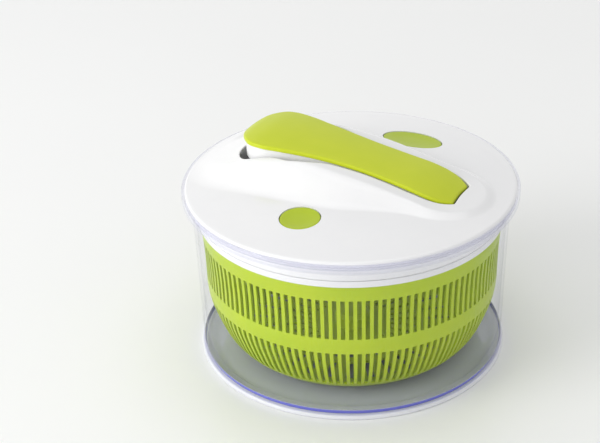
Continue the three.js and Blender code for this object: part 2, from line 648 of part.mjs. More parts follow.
function buildButtons() {
  const cap = underLid(LID.floorTop, LID.radius - 1, 1.6);
  let lock = buttonCap(
    circle(LOCK.radius, LOCK.x, LOCK.y, 20), circle(LOCK.radius - 1.8, LOCK.x, LOCK.y, 20),
    circle(LOCK.radius + 1.4, LOCK.x, LOCK.y, 20), LOCK.skirtBottom,
  );
  lock = lock.add(post(4, 132, 180, LOCK.x, LOCK.springY, 12).intersect(cap));
  const edge = (z) => BOLT.tail - 0.6 + BOLT.slope * (z - BOLT.bottom);
  const wedgePlan = [
    [-77.8, 127], [edge(127), 127], [edge(132.5), 132.5], [edge(132.5), 150], [-77.8, 150],
  ];
  const wedge = prism(wedgePlan, LOCK.x - 3, LOCK.x + 3).rotate([90, 0, 0]).rotate([0, 0, 90]);
  lock = lock.add(wedge.intersect(cap));
  addNode("lock_button", lock, "lime");

  const tailTop = BOLT.tail + BOLT.slope * (BOLT.top - BOLT.bottom);
  const boltPlan = [
    [BOLT.tail, BOLT.bottom], [BOLT.tip, BOLT.bottom], [BOLT.tip, BOLT.top], [tailTop, BOLT.top],
  ];
  const bolt = prism(boltPlan, LOCK.x - BOLT.halfWidth, LOCK.x + BOLT.halfWidth);
  addNode("lock_bolt", bolt.rotate([90, 0, 0]).rotate([0, 0, 90]), "acetal");

  const [a, b] = [BRAKE.halfLength, BRAKE.halfWidth];
  let brake = buttonCap(
    oval(a, b, BRAKE.x, BRAKE.y), oval(a - 1.8, b - 1.8, BRAKE.x, BRAKE.y),
    oval(a + 1.4, b + 1.4, BRAKE.x, BRAKE.y), BRAKE.skirtBottom,
  );
  brake = brake.add(tube(7.8, 4.3, 131, 180, BRAKE.x, BRAKE.y, 20).intersect(cap));
  addNode("brake_button", brake, "lime");
  addNode("brake_stem", post(4, 120.8, 136.6, BRAKE.x, BRAKE.y), "acetal");
  addNode("brake_pad", post(5, 118.2, 120.7, BRAKE.x, BRAKE.y), "rubber");
}

// ---------------------------------------------------------------- lever
function buildLever() {
  const lift = COVER.thick;
  const slab = leverSlab(coverTop, (x, y) => coverTop(x, y) - lift);
  let cover = slab.intersect(prism(coverPlan(0), 100, 200));
  for (const x of LEVER_SCREWS) cover = cover.subtract(post(1.45, 100, coverTop(x, 0) - 1.2, x, 0, 8));
  addNode("lever_cover", cover, "lime");

  const top = (x, y) => coverTop(x, y) - lift - 0.2;
  const roof = (x, y) => top(x, y) - BODY.roof;
  const walls = leverSlab(top, (x) => along(BODY_BOTTOM, x));
  const inner = leverSlab(roof, () => 110);
  let body = walls.intersect(prism(coverPlan(-COVER.inset), 100, 200));
  body = body.subtract(inner.intersect(prism(coverPlan(-COVER.inset - BODY.wall), 100, 200)));
  const reach = leverSlab((x, y) => roof(x, y) + 0.8, () => 110);
  for (const side of [-1, 1]) {
    const [y0, y1] = side < 0 ? [-13, -7.4] : [7.4, 13];
    const web = box(HINGE.x - 3.5, HINGE.x + 3.5, y0, y1, HINGE.z, 160).intersect(reach);
    body = body.add(web).add(barrel(4.2, y0, y1, HINGE.x, HINGE.z));
  }
  body = body.subtract(barrel(HINGE.bore, -30, 30, HINGE.x, HINGE.z));
  for (const x of [-66, 44]) {
    const rib = box(x - 0.8, x + 0.8, -30, 30, along(COVER_TOP, x) - 12, 180);
    body = body.add(rib.intersect(reach).intersect(prism(coverPlan(-COVER.inset - 1), 100, 200)));
  }
  const drop = (HINGE.x - LOCK.x) * Math.sin((STROKE_DEG * Math.PI) / 180);
  const tab = box(LOCK.x - 5, LOCK.x + 5, -22.4, -20.2, 131, 170).intersect(reach);
  const eye = box(LOCK.x - 3, LOCK.x + 3, -26, -18, BOLT.bottom + drop - 0.5, BOLT.top + drop + 0.5);
  body = body.add(tab).subtract(eye);
  for (const x of LEVER_SCREWS) body = body.subtract(post(1.5, 100, 200, x, 0, 8));
  addNode("lever_body", body, "white");

  LEVER_SCREWS.forEach((x, i) => {
    const seat = roof(x, 0) - 1.3;
    const screw = post(2.8, seat - 1.6, seat, x, 0, 10).add(post(1.2, seat - 0.5, seat + 4.2, x, 0, 8));
    addNode(`lever_screw_${i + 1}`, screw, "steel");
  });
}

// ---------------------------------------------------------------- gears
/** Half angle of a thinned involute tooth at radius r. */
function toothHalfAngle(teeth, r, share) {
  const pitch = (teeth * MODULE) / 2;
  const base = pitch * Math.cos(Math.PI / 9);
  const involute = (radius) => {
    const ratio = Math.min(1, base / Math.max(radius, base));
    const angle = Math.acos(ratio);
    return Math.tan(angle) - angle;
  };
  const half = (Math.PI * share) / teeth;
  return half + involute(pitch) - involute(r);
}

/** Outline of teeth from first to last index about (0, 0); tooth 0 points along start. */
function toothPoints(teeth, start, first, last, share = 0.86, addendum = 0.8) {
  const pitch = (teeth * MODULE) / 2;
  const radii = [pitch - 1.2 * MODULE, pitch + addendum * MODULE];
  const points = [];
  for (let i = first; i <= last; i += 1) {
    const centre = start + (2 * Math.PI * i) / teeth;
    for (const r of radii) {
      const a = centre - toothHalfAngle(teeth, r, share / 2);
      points.push([r * Math.cos(a), r * Math.sin(a)]);
    }
    for (const r of [...radii].reverse()) {
      const a = centre + toothHalfAngle(teeth, r, share / 2);
      points.push([r * Math.cos(a), r * Math.sin(a)]);
    }
  }
  return points;
}

function buildLeverSector() {
  const spacing = (2 * Math.PI) / SECTOR_TEETH;
  const line = Math.asin((SHAFT_Z - HINGE.z) / SHAFT_REACH);
  // In the side plane the sector points towards -X; teeth climb with rising index.
  const teeth = toothPoints(SECTOR_TEETH, line, -1, 5).map(([u, v]) => [HINGE.x - u, HINGE.z + v]);
  const innerRadius = 87;
  const arc = [];
  for (let i = 6; i >= 0; i -= 1) {
    const a = line - 1.3 * spacing + (i / 6) * 6.6 * spacing;
    arc.push([HINGE.x - innerRadius * Math.cos(a), HINGE.z + innerRadius * Math.sin(a)]);
  }
  const roof = coverTop(-13, 0) - COVER.thick - 0.2 - BODY.roof;
  const plan = [...teeth, [-18.5, roof - 0.3], [-8, roof - 1.8], ...arc];
  addNode("drive_sector", sidePrism(plan, -3, 3), "acetal");
}

function buildGears() {
  const shaft = barrel(CROSS_PIN, -13.8, IDLER_Y + 2.4, SHAFT_X, SHAFT_Z);
  addNode("cross_shaft", shaft, "steel");

  // Pinion: a gap faces the sector, which lies towards +X along the line to the hinge.
  const line = Math.atan2(HINGE.z - SHAFT_Z, HINGE.x - SHAFT_X);
  const half = Math.PI / PINION_TEETH;
  const outline = toothPoints(PINION_TEETH, line + half, 0, PINION_TEETH - 1);
  const bore = CROSS_PIN + FIT_GAP;
  const place = outline.map(([u, v]) => [SHAFT_X + u, SHAFT_Z + v]);
  const pinion = sidePrism(place, -3.6, 3.6).subtract(barrel(bore, -9, 9, SHAFT_X, SHAFT_Z));
  addNode("cross_pinion", pinion, "acetal");

  const discFace = CROWN_PITCH_Y - 1.1;
  let crown = barrel(11.5, discFace - 2.6, discFace, SHAFT_X, SHAFT_Z, 24);
  for (let i = 0; i < CROWN_TEETH; i += 1) {
    // Tooth 0 points straight down, into a gap of the idler pinion.
    const rack = [
      [-0.75, discFace - 0.3], [0.75, discFace - 0.3], [0.3, CROWN_PITCH_Y + 0.7], [-0.3, CROWN_PITCH_Y + 0.7],
    ];
    const tooth = prism(rack, -11.5, -8.6);
    const turn = (360 * i) / CROWN_TEETH;
    crown = crown.add(tooth.rotate([0, turn, 0]).translate([SHAFT_X, 0, SHAFT_Z]));
  }
  crown = crown.subtract(barrel(bore, 0, 12, SHAFT_X, SHAFT_Z));
  addNode("crown_gear", crown, "acetal");

  // Idler pinion: a gap faces the crown gear (towards -Y).
  const idlerBore = post(CROSS_PIN + 0.2, 100, 140, SHAFT_X, IDLER_Y);
  const small = toothPoints(PINION_TEETH, -Math.PI / 2 + half, 0, PINION_TEETH - 1);
  let idlerPinion = prism(small.map(([u, v]) => [SHAFT_X + u, IDLER_Y + v]), 124.8, 129.3);
  idlerPinion = idlerPinion.add(post(3.6, 121.5, 125, SHAFT_X, IDLER_Y)).subtract(idlerBore);
  addNode("idler_pinion", idlerPinion, "acetal");

  // Idler gear: a tooth points at the drum; the drum shows it a gap.
  const toDrum = Math.atan2(-IDLER_Y, -SHAFT_X);
  const large = toothPoints(IDLER_TEETH, toDrum, 0, IDLER_TEETH - 1);
  const idlerGear = prism(large.map(([u, v]) => [SHAFT_X + u, IDLER_Y + v]), 118.5, 121.4);
  addNode("idler_gear", idlerGear.subtract(idlerBore), "acetal");

  const drumStart = toDrum + Math.PI + Math.PI / DRUM_TEETH;
  let drum = prism(toothPoints(DRUM_TEETH, drumStart, 0, DRUM_TEETH - 1), 118.4, 122);
  drum = drum.add(post(CLUTCH.raceOuter, 121.9, 130, 0, 0, 24));
  drum = drum.subtract(post(CLUTCH.raceInner, 123.2, 140, 0, 0, 24));
  drum = drum.subtract(post(OUTPUT.radius + 0.25, 100, 140, 0, 0, 20));
  addNode("clutch_gear", drum, "acetal");
}

// ---------------------------------------------------------------- spinning output
function buildOutput() {
  let shaft = post(OUTPUT.radius, OUTPUT.bottom, OUTPUT.top, 0, 0, 20);
  shaft = shaft.subtract(post(1.5, OUTPUT.bottom - 1, 113.4, 0, 0, 8));
  addNode("output_shaft", shaft, "steel");

  let hub = tube(CLUTCH.hub, OUTPUT.radius + FIT_GAP, 123.5, 129.6, 0, 0, 32);
  for (let i = 0; i < 3; i += 1) {
    const a = (2 * Math.PI * i) / 3 + 0.5;
    const [x, y] = [CLUTCH.rollerOrbit * Math.cos(a), CLUTCH.rollerOrbit * Math.sin(a)];
    hub = hub.subtract(post(CLUTCH.rollerRadius + 0.2, 120, 140, x, y, 12));
    const roller = post(CLUTCH.rollerRadius, 123.7, 129.4, x, y, 12);
    addNode(`clutch_roller_${i + 1}`, roller, "steel");
  }
  addNode("clutch_hub", hub, "acetal");
  addNode("shaft_clip", tube(4.6, OUTPUT.radius + FIT_GAP, 129.9, 130.7, 0, 0, 20), "steel");

  const p = PLATE;
  let plate = turned([
    [OUTPUT.radius + FIT_GAP, 108], [9, 108], [9, p.discBottom], [p.radius - 2.4, p.discBottom],
    [p.radius - 2.4, p.rimBottom], [p.radius - 0.3, p.rimBottom], [p.radius, p.rimBottom + 0.4],
    [p.radius, p.rimTop], [p.radius - 2.2, p.rimTop], [p.radius - 2.6, p.discTop], [9, p.discTop],
    [9, 115.4], [OUTPUT.radius + FIT_GAP, 115.4],
  ]);
  const ray = box(8, p.radius - 3, -0.8, 0.8, 110.6, p.discBottom + 0.5);
  for (let i = 0; i < 6; i += 1) plate = plate.add(ray.rotate([0, 0, 60 * i]));
  for (let i = 0; i < DRIVE_RIBS; i += 1) {
    for (const side of [-1, 1]) {
      const lug = box(108, 111.2, side * 3.4 - 1.2, side * 3.4 + 1.2, 103.5, p.discBottom + 0.5);
      plate = plate.add(lug.rotate([0, 0, 30 + (360 * i) / DRIVE_RIBS]));
    }
  }
  addNode("drive_plate", plate, "white");
  addNode("plate_washer", tube(6, 1.7, 106.4, 107.5, 0, 0, 20), "steel");
  let screw = post(3, 104.4, 106.2, 0, 0, 16).add(post(1.35, 106, 113, 0, 0, 8));
  screw = screw.subtract(box(-2.2, 2.2, -0.4, 0.4, 104, 105.2));
  addNode("plate_screw", screw, "steel");
}

buildBowl();
buildBasket();
buildLidShell();
buildLidBase();
buildLidFittings();
buildButtons();
buildLever();
buildLeverSector();
buildGears();
buildOutput();

export default group;
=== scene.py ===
"""Looks for a lever-driven salad spinner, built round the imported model.

Lengths are written in millimetres and turned into metres where a mesh is made.
The lever lies along X, with its hinge towards +X and its free end towards -X.
"""

from __future__ import annotations

import json
import logging
import math
from dataclasses import dataclass
from enum import Enum
from typing import Callable, Sequence

import bmesh
import bpy
import numpy as np
from mathutils import Matrix, Vector

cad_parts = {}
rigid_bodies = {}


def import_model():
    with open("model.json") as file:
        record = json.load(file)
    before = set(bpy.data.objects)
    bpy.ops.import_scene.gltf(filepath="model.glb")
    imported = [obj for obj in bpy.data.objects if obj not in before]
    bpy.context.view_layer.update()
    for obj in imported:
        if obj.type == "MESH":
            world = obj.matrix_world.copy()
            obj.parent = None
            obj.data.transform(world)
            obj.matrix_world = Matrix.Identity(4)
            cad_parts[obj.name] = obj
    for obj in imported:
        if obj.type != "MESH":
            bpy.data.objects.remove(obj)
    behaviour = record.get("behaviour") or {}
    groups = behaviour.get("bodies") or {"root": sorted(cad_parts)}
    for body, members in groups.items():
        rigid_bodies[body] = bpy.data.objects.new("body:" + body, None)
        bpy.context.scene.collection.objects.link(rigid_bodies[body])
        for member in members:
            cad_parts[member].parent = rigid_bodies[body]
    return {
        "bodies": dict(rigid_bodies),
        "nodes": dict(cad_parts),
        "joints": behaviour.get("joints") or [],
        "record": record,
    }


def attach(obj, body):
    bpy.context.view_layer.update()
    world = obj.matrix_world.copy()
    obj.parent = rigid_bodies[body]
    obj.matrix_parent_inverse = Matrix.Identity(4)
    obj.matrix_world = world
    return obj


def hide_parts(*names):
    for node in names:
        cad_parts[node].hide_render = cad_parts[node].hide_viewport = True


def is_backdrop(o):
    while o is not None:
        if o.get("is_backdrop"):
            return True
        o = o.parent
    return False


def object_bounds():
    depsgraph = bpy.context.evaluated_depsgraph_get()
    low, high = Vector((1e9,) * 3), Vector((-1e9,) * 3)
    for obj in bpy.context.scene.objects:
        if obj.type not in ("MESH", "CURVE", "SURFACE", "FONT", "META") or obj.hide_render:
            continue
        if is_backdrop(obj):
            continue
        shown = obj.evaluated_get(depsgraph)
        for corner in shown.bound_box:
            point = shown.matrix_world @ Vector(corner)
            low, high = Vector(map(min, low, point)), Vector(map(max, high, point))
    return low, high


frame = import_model()

MM = 0.001
LOG = logging.getLogger("salad_spinner")
Colour = tuple[float, float, float]
Points = np.ndarray
Corner = tuple[float, float, float]
HeightMap = Callable[[Points, Points], Points]

# Places shared by several sub-assemblies, as x and y, or x and height for the hinge.
HINGE = (74.0, 133.5)
LOCK = (-4.0, -77.0)
BRAKE = (19.0, 74.0)
LOCK_SPRING_Y = -84.0
ON_AXIS = 1e-4  # the radius of a ring that closes a surface on its axis

# Numbers of the node sockets that share a name with others.
COORDS_GENERATED, COORDS_OBJECT = 0, 3
MIX_FIRST, MIX_SECOND, MIX_RESULT = 6, 7, 2
LAYER_FACING = 1


# ---------------------------------------------------------------------- shader writing
class Signal:
    """A shader socket that can be used in ordinary arithmetic."""

    def __init__(self, graph: "Graph", socket: bpy.types.NodeSocket) -> None:
        """Wraps one output socket of a node in the graph."""
        self.graph = graph
        self.socket = socket

    def _math(self, operation: str, *operands: "Signal | float") -> "Signal":
        """Adds one Math node, with its inputs in order, and gives back its value."""
        return self.graph.add("ShaderNodeMath", {"operation": operation}, dict(enumerate(operands)))[0]

    def __add__(self, other: "Signal | float") -> "Signal":
        """Sum."""
        return self._math("ADD", self, other)

    __radd__ = __add__

    def __mul__(self, other: "Signal | float") -> "Signal":
        """Product."""
        return self._math("MULTIPLY", self, other)

    __rmul__ = __mul__

    def __sub__(self, other: "Signal | float") -> "Signal":
        """Difference."""
        return self._math("SUBTRACT", self, other)

    def __rsub__(self, other: float) -> "Signal":
        """Reflected difference."""
        return self._math("SUBTRACT", other, self)

    def __pow__(self, other: "Signal | float") -> "Signal":
        """Power."""
        return self._math("POWER", self, other)

    def sine(self) -> "Signal":
        """Sine of an angle in radians."""
        return self._math("SINE", self)

    def root(self) -> "Signal":
        """Square root."""
        return self._math("SQRT", self)

    def ramp(self, start: float, end: float) -> "Signal":
        """Smooth step from 0 at start to 1 at end."""
        links = {"Value": self, "From Min": start, "From Max": end}
        return self.graph.add("ShaderNodeMapRange", {"interpolation_type": "SMOOTHSTEP"}, links)[0]


class Graph:
    """Builds one material's nodes."""

    def __init__(self, name: str, world: bool = False) -> None:
        """Makes an empty material or world.

        Args:
            name: Its name.
            world: Whether it is a world.
        """
        library = bpy.data.worlds if world else bpy.data.materials
        self.material = library.new(name)
        self.material.use_nodes = True
        self.tree = self.material.node_tree
        self.tree.nodes.clear()

    def add(
        self,
        kind: str,
        settings: dict[str, object] | None = None,
        links: dict[str | int, object] | None = None,
    ) -> list[Signal]:
        """Adds a node.

        Args:
            kind: The node's type.
            settings: Properties, set before any socket.
            links: Values or signals for its inputs, by name or number.

        Returns:
            The node's output signals, in order.
        """
        node = self.tree.nodes.new(kind)
        for key, value in (settings or {}).items():
            setattr(node, key, value)
        for key, value in (links or {}).items():
            socket = node.inputs[key]
            if isinstance(value, Signal):
                self.tree.links.new(value.socket, socket)
            else:
                socket.default_value = value
        return [Signal(self, output) for output in node.outputs]

    def place(self) -> tuple[Signal, ...]:
        """Object coordinates in metres: the vector and its x, y and z."""
        vector = self.add("ShaderNodeTexCoord")[COORDS_OBJECT]
        return (vector, *self.add("ShaderNodeSeparateXYZ", None, {0: vector}))

    def noise(self, vector: Signal, scale: float, detail: float = 3.0) -> Signal:
        """Smooth noise from 0 to 1, with its scale in cycles per metre."""
        return self.add("ShaderNodeTexNoise", None, {"Vector": vector, "Scale": scale, "Detail": detail})[0]

    def blend(self, factor: Signal | float, first: object, second: object) -> Signal:
        """Mixes two colours: a factor of 0 gives the first and 1 the second."""
        links = {0: factor, MIX_FIRST: rgba(first), MIX_SECOND: rgba(second)}
        return self.add("ShaderNodeMix", {"data_type": "RGBA"}, links)[MIX_RESULT]

    def bump(self, height: Signal, strength: float, distance: float) -> Signal:
        """Turns a height into a normal, where distance is the height of 1 in metres."""
        links = {"Height": height, "Strength": strength, "Distance": distance}
        return self.add("ShaderNodeBump", None, links)[0]

    def principled(self, **links: object) -> Signal:
        """Adds the main shader, with its inputs named with underscores for spaces."""
        named = {key.replace("_", " "): value for key, value in links.items()}
        return self.add("ShaderNodeBsdfPrincipled", None, named)[0]

    def see_through(self, tint: Colour) -> Signal:
        """Adds a clear shader of one tint."""
        return self.add("ShaderNodeBsdfTransparent", None, {"Color": rgba(tint)})[0]

    def layer(self, factor: Signal, under: Signal, over: Signal) -> Signal:
        """Lays one shader over another: a factor of 1 hides the lower one."""
        return self.add("ShaderNodeMixShader", None, {0: factor, 1: under, 2: over})[0]

    def finish(self, shader: Signal) -> bpy.types.Material:
        """Connects the surface and gives back the material."""
        self.add("ShaderNodeOutputMaterial", None, {"Surface": shader})
        return self.material


def rgba(value: object) -> object:
    """Adds an alpha of 1 to a colour and leaves anything else alone."""
    if isinstance(value, tuple) and len(value) == 3:
        return (*value, 1.0)
    return value


# ---------------------------------------------------------------------- finishes
class Slot(Enum):
    """The record's material slots."""

    CLEAR = "clear"
    FOOT = "foot_tpe"
    LID = "white_lid"
    PLATE = "plate_white"
    LIME = "lime"
    ACETAL = "acetal"
    STEEL = "steel"
    SPRING = "spring_steel"
    PAD = "rubber_pad"


class ShadedLime(Enum):
    """Darker, greener copies of the lime finish; the darkening is painted shade."""

    BASKET = "basket_lime_shaded"
    BUTTON = "button_lime_shaded"


@dataclass(frozen=True)
class MouldedPlastic:
    """Opaque moulded plastic with a soft skin texture."""

    name: str
    colour: Colour
    shade: Colour
    roughness: float
    coat: float
    grain: float = 1500.0
    relief: float = 0.00004
    glow: float = 0.0
    specular: float = 0.5

    def make(self) -> bpy.types.Material:
        """Builds the material."""
        graph = Graph(self.name)
        vector, _, _, _ = graph.place()
        flow = graph.noise(vector, 14.0, 2.0)
        cloud = graph.noise(vector, 90.0, 3.0)
        skin = graph.noise(vector, self.grain, 2.0)
        tone = (flow * 0.65 + cloud * 0.35).ramp(0.32, 0.72)
        colour = graph.blend(tone, self.shade, self.colour)
        roughness = cloud * 0.07 + skin * 0.05 + (self.roughness - 0.06)
        normal = graph.bump(skin * 0.6 + cloud * 0.4, 0.35, self.relief)
        shader = graph.principled(
            Base_Color=colour,
            Roughness=roughness,
            Normal=normal,
            Specular_IOR_Level=self.specular,
            Coat_Weight=self.coat,
            Coat_Roughness=0.08,
            Subsurface_Weight=self.glow,
            Subsurface_Radius=(0.004, 0.004, 0.003),
        )
        return graph.finish(shader)


@dataclass(frozen=True)
class ClearPlastic:
    """Clear moulded plastic, blue-violet where the wall is thick, with a dark blue-violet band of painted
    shade round the outer foot corner. Zones are in metres.
    """

    name: str
    body: Colour
    edge: Colour
    # The corner colour, its masks and its share paint shade as a dark band round the outer foot corner, where
    # the wall meets the foot.
    corner: Colour
    wall_tint: Colour = (0.992, 0.993, 0.998)
    floor_tint: Colour = (0.955, 0.962, 1.0)
    corner_shade_rise: tuple[float, float] = (0.0034, 0.0039)
    corner_shade_fall: tuple[float, float] = (0.0066, 0.0078)
    corner_shade_radii: tuple[float, float] = (0.1146, 0.1156)
    floor_zone: tuple[float, float] = (0.0030, 0.0100)
    rim_zone: tuple[float, float] = (0.1255, 0.1290)
    grazing_share: float = 0.42
    rim_share: float = 0.17
    floor_share: float = 0.34
    corner_shade_share: float = 0.85
    wisp_share: float = 0.01

    def make(self) -> bpy.types.Material:
        """Builds the material."""
        graph = Graph(self.name)
        vector, x, y, z = graph.place()
        radius = (x * x + y * y).root()
        # Mask of the painted shade band round the outer foot corner.
        line = z.ramp(*self.corner_shade_rise) * (1.0 - z.ramp(*self.corner_shade_fall)) * radius.ramp(*self.corner_shade_radii)
        low_zone = 1.0 - z.ramp(*self.floor_zone)
        facing = graph.add("ShaderNodeLayerWeight", None, {"Blend": 0.5})[LAYER_FACING]
        wisps = graph.noise(vector, 9.0, 1.0) * self.wisp_share
        share = (facing ** 12.0) * self.grazing_share + z.ramp(*self.rim_zone) * self.rim_share
        share = share + low_zone * self.floor_share + wisps + line * self.corner_shade_share
        colour = graph.blend(line, graph.blend(low_zone, self.edge, self.body), self.corner)
        skin = graph.noise(vector, 240.0, 2.0)
        normal = graph.bump(skin, 0.12, 0.00003)
        body = graph.principled(
            Base_Color=colour,
            Roughness=skin * 0.03 + 0.05,
            Normal=normal,
            Coat_Weight=0.3,
            Coat_Roughness=0.02,
        )
        through = graph.layer(low_zone, graph.see_through(self.wall_tint), graph.see_through(self.floor_tint))
        gloss = graph.add("ShaderNodeBsdfGlossy", None, {"Roughness": 0.05, "Normal": normal})[0]
        sheen = ((facing ** 5.0) * 0.55 + 0.035) * (low_zone * 1.6 + 0.25)
        return graph.finish(graph.layer(sheen, graph.layer(share, through, body), gloss))


@dataclass(frozen=True)
class TurnedSteel:
    """Steel with fine turning marks."""

    name: str
    colour: Colour
    roughness: float
    marks: float = 9000.0

    def make(self) -> bpy.types.Material:
        """Builds the material."""
        graph = Graph(self.name)
        vector, _, _, z = graph.place()
        wobble = graph.noise(vector, 400.0, 2.0)
        lines = (z * self.marks + wobble * 4.0).sine() * 0.5 + 0.5
        patch = graph.noise(vector, 160.0, 3.0)
        dark = tuple(0.8 * channel for channel in self.colour)
        shader = graph.principled(
            Base_Color=graph.blend(patch, dark, self.colour),
            Metallic=1.0,
            Roughness=lines * 0.06 + patch * 0.08 + (self.roughness - 0.06),
            Normal=graph.bump(lines, 0.2, 0.00002),
        )
        return graph.finish(shader)


@dataclass(frozen=True)
class TableTop:
    """Pale satin surface that the object stands on."""

    name: str
    colour: Colour

    def make(self) -> bpy.types.Material:
        """Builds the material."""
        graph = Graph(self.name)
        vector, _, _, _ = graph.place()
        broad = graph.noise(vector, 1.6, 2.0)
        fine = graph.noise(vector, 260.0, 2.0)
        darker = tuple(0.965 * channel for channel in self.colour)
        shader = graph.principled(
            Base_Color=graph.blend(broad, darker, self.colour),
            Roughness=fine * 0.06 + 0.30,
            Normal=graph.bump(fine, 0.1, 0.00004),
        )
        return graph.finish(shader)


FINISHES = {
    # The clear bowl's third colour is painted shade for the dark band round its foot corner.
    Slot.CLEAR: ClearPlastic("clear_bowl", (0.86, 0.88, 0.98), (0.60, 0.60, 0.82), (0.10, 0.11, 0.55)),
    Slot.FOOT: MouldedPlastic("foot_ring_satin", (0.74, 0.75, 0.79), (0.70, 0.71, 0.75), 0.34, 0.2, glow=0.1),
    Slot.LID: MouldedPlastic(
        "gloss_white_lid", (0.845, 0.845, 0.852), (0.825, 0.827, 0.836), 0.16, 0.45, grain=900.0),
    Slot.PLATE: MouldedPlastic("satin_white_plate", (0.84, 0.84, 0.85), (0.81, 0.81, 0.825), 0.33, 0.1),
    Slot.LIME: MouldedPlastic(
        "satin_lime", (0.560, 0.635, 0.022), (0.530, 0.615, 0.018), 0.40, 0.04, specular=0.28),
    Slot.ACETAL: MouldedPlastic("natural_acetal", (0.76, 0.75, 0.69), (0.71, 0.70, 0.64), 0.42, 0.0),
    Slot.STEEL: TurnedSteel("turned_steel", (0.58, 0.585, 0.60), 0.30),
    Slot.SPRING: TurnedSteel("spring_wire", (0.42, 0.43, 0.45), 0.34, 14000.0),
    Slot.PAD: MouldedPlastic("brake_pad_rubber", (0.06, 0.063, 0.068), (0.045, 0.047, 0.05), 0.72, 0.0),
}

# Darker copies of the lime for the basket and the buttons: painted shade, with a slightly greener hue.
SHADED_LIMES = {
    ShadedLime.BASKET: MouldedPlastic(
        ShadedLime.BASKET.value, (0.470, 0.590, 0.020), (0.420, 0.560, 0.018), 0.38, 0.05, specular=0.3),
    ShadedLime.BUTTON: MouldedPlastic(
        ShadedLime.BUTTON.value, (0.430, 0.535, 0.018), (0.400, 0.515, 0.016), 0.36, 0.05, specular=0.3),
}


# ---------------------------------------------------------------------- mesh helpers
def smooth_table(table: Sequence[tuple[float, float]], at: Points) -> Points:
    """Reads a table of (place, value) rows along a smooth curve.

    Args:
        table: The rows, in rising or falling order of place.
        at: Where it is read.

    Returns:
        The values.
    """
    rows = np.array(sorted(table))
    xs, ys = rows[:, 0], rows[:, 1]
    slopes = np.gradient(ys, xs)
    at = np.clip(np.asarray(at, dtype=float), xs[0], xs[-1])
    i = np.clip(np.searchsorted(xs, at) - 1, 0, len(xs) - 2)
    width = xs[i + 1] - xs[i]
    t = (at - xs[i]) / width
    h00 = 2 * t**3 - 3 * t**2 + 1
    h10 = t**3 - 2 * t**2 + t
    h01 = -2 * t**3 + 3 * t**2
    h11 = t**3 - t**2
    return h00 * ys[i] + h10 * width * slopes[i] + h01 * ys[i + 1] + h11 * width * slopes[i + 1]


def ease(t: Points) -> Points:
    """Smooth step from 0 to 1."""
    s = np.clip(t, 0.0, 1.0)
    return s * s * (3.0 - 2.0 * s)


def round_drop(distance: Points | float, radius: float) -> Points:
    """How far a rounded edge has fallen below the flat, at a distance in from it."""
    inside = np.clip(radius - distance, 0.0, radius)
    return radius - np.sqrt(np.maximum(radius**2 - inside**2, 0.0))


def filleted(corners: Sequence[Corner], steps: int = 5) -> list[tuple[float, float]]:
    """Rounds the corners of a path.

    Args:
        corners: Rows of radius, height and corner radius.
        steps: Points in each rounding.

    Returns:
        The rounded path's points.
    """
    path: list[tuple[float, float]] = []
    count = len(corners)
    for i, (r, z, radius) in enumerate(corners):
        if radius <= 0 or i in (0, count - 1):
            path.append((r, z))
            continue
        here = np.array([r, z])
        before = np.array(corners[i - 1][:2]) - here
        after = np.array(corners[(i + 1) % count][:2]) - here
        reach = min(radius, 0.45 * float(np.hypot(*before)), 0.45 * float(np.hypot(*after)))
        start = here + before / np.hypot(*before) * reach
        end = here + after / np.hypot(*after) * reach
        for k in range(steps + 1):
            t = k / steps
            point = (1 - t) ** 2 * start + 2 * t * (1 - t) * here + t**2 * end
            path.append((float(point[0]), float(point[1])))
    return path


def circle_ring(radius: float, z: float, segments: int, x: float = 0.0, y: float = 0.0) -> Points:
    """Points round a level circle."""
    angle = np.linspace(0.0, 2 * math.pi, segments, endpoint=False)
    return np.stack([x + radius * np.cos(angle), y + radius * np.sin(angle), np.full(segments, z)], -1)


def around(angles: Points, radius: Points, z: Points) -> Points:
    """Points at the given angles, radii and heights."""
    return np.stack([radius * np.cos(angles), radius * np.sin(angles), z], -1)


def at_height(plan: Points, z: float) -> Points:
    """Lifts a plan outline to one height."""
    return np.column_stack([plan, np.full(len(plan), z)])


def on_surface(plan: Points, height: HeightMap, lift: Points | float = 0.0) -> Points:
    """Lays a plan outline on a height map, raised by a lift."""
    return np.column_stack([plan, height(plan[:, 0], plan[:, 1]) + lift])


def push_out(outline: Points, distance: float) -> Points:
    """Moves a closed plan outline outwards.

    Args:
        outline: Points in counter-clockwise order.
        distance: How far, inwards if negative.

    Returns:
        The moved outline.
    """
    tangent = np.roll(outline, -1, 0) - np.roll(outline, 1, 0)
    tangent /= np.linalg.norm(tangent, axis=1, keepdims=True)
    return outline + distance * np.stack([tangent[:, 1], -tangent[:, 0]], -1)


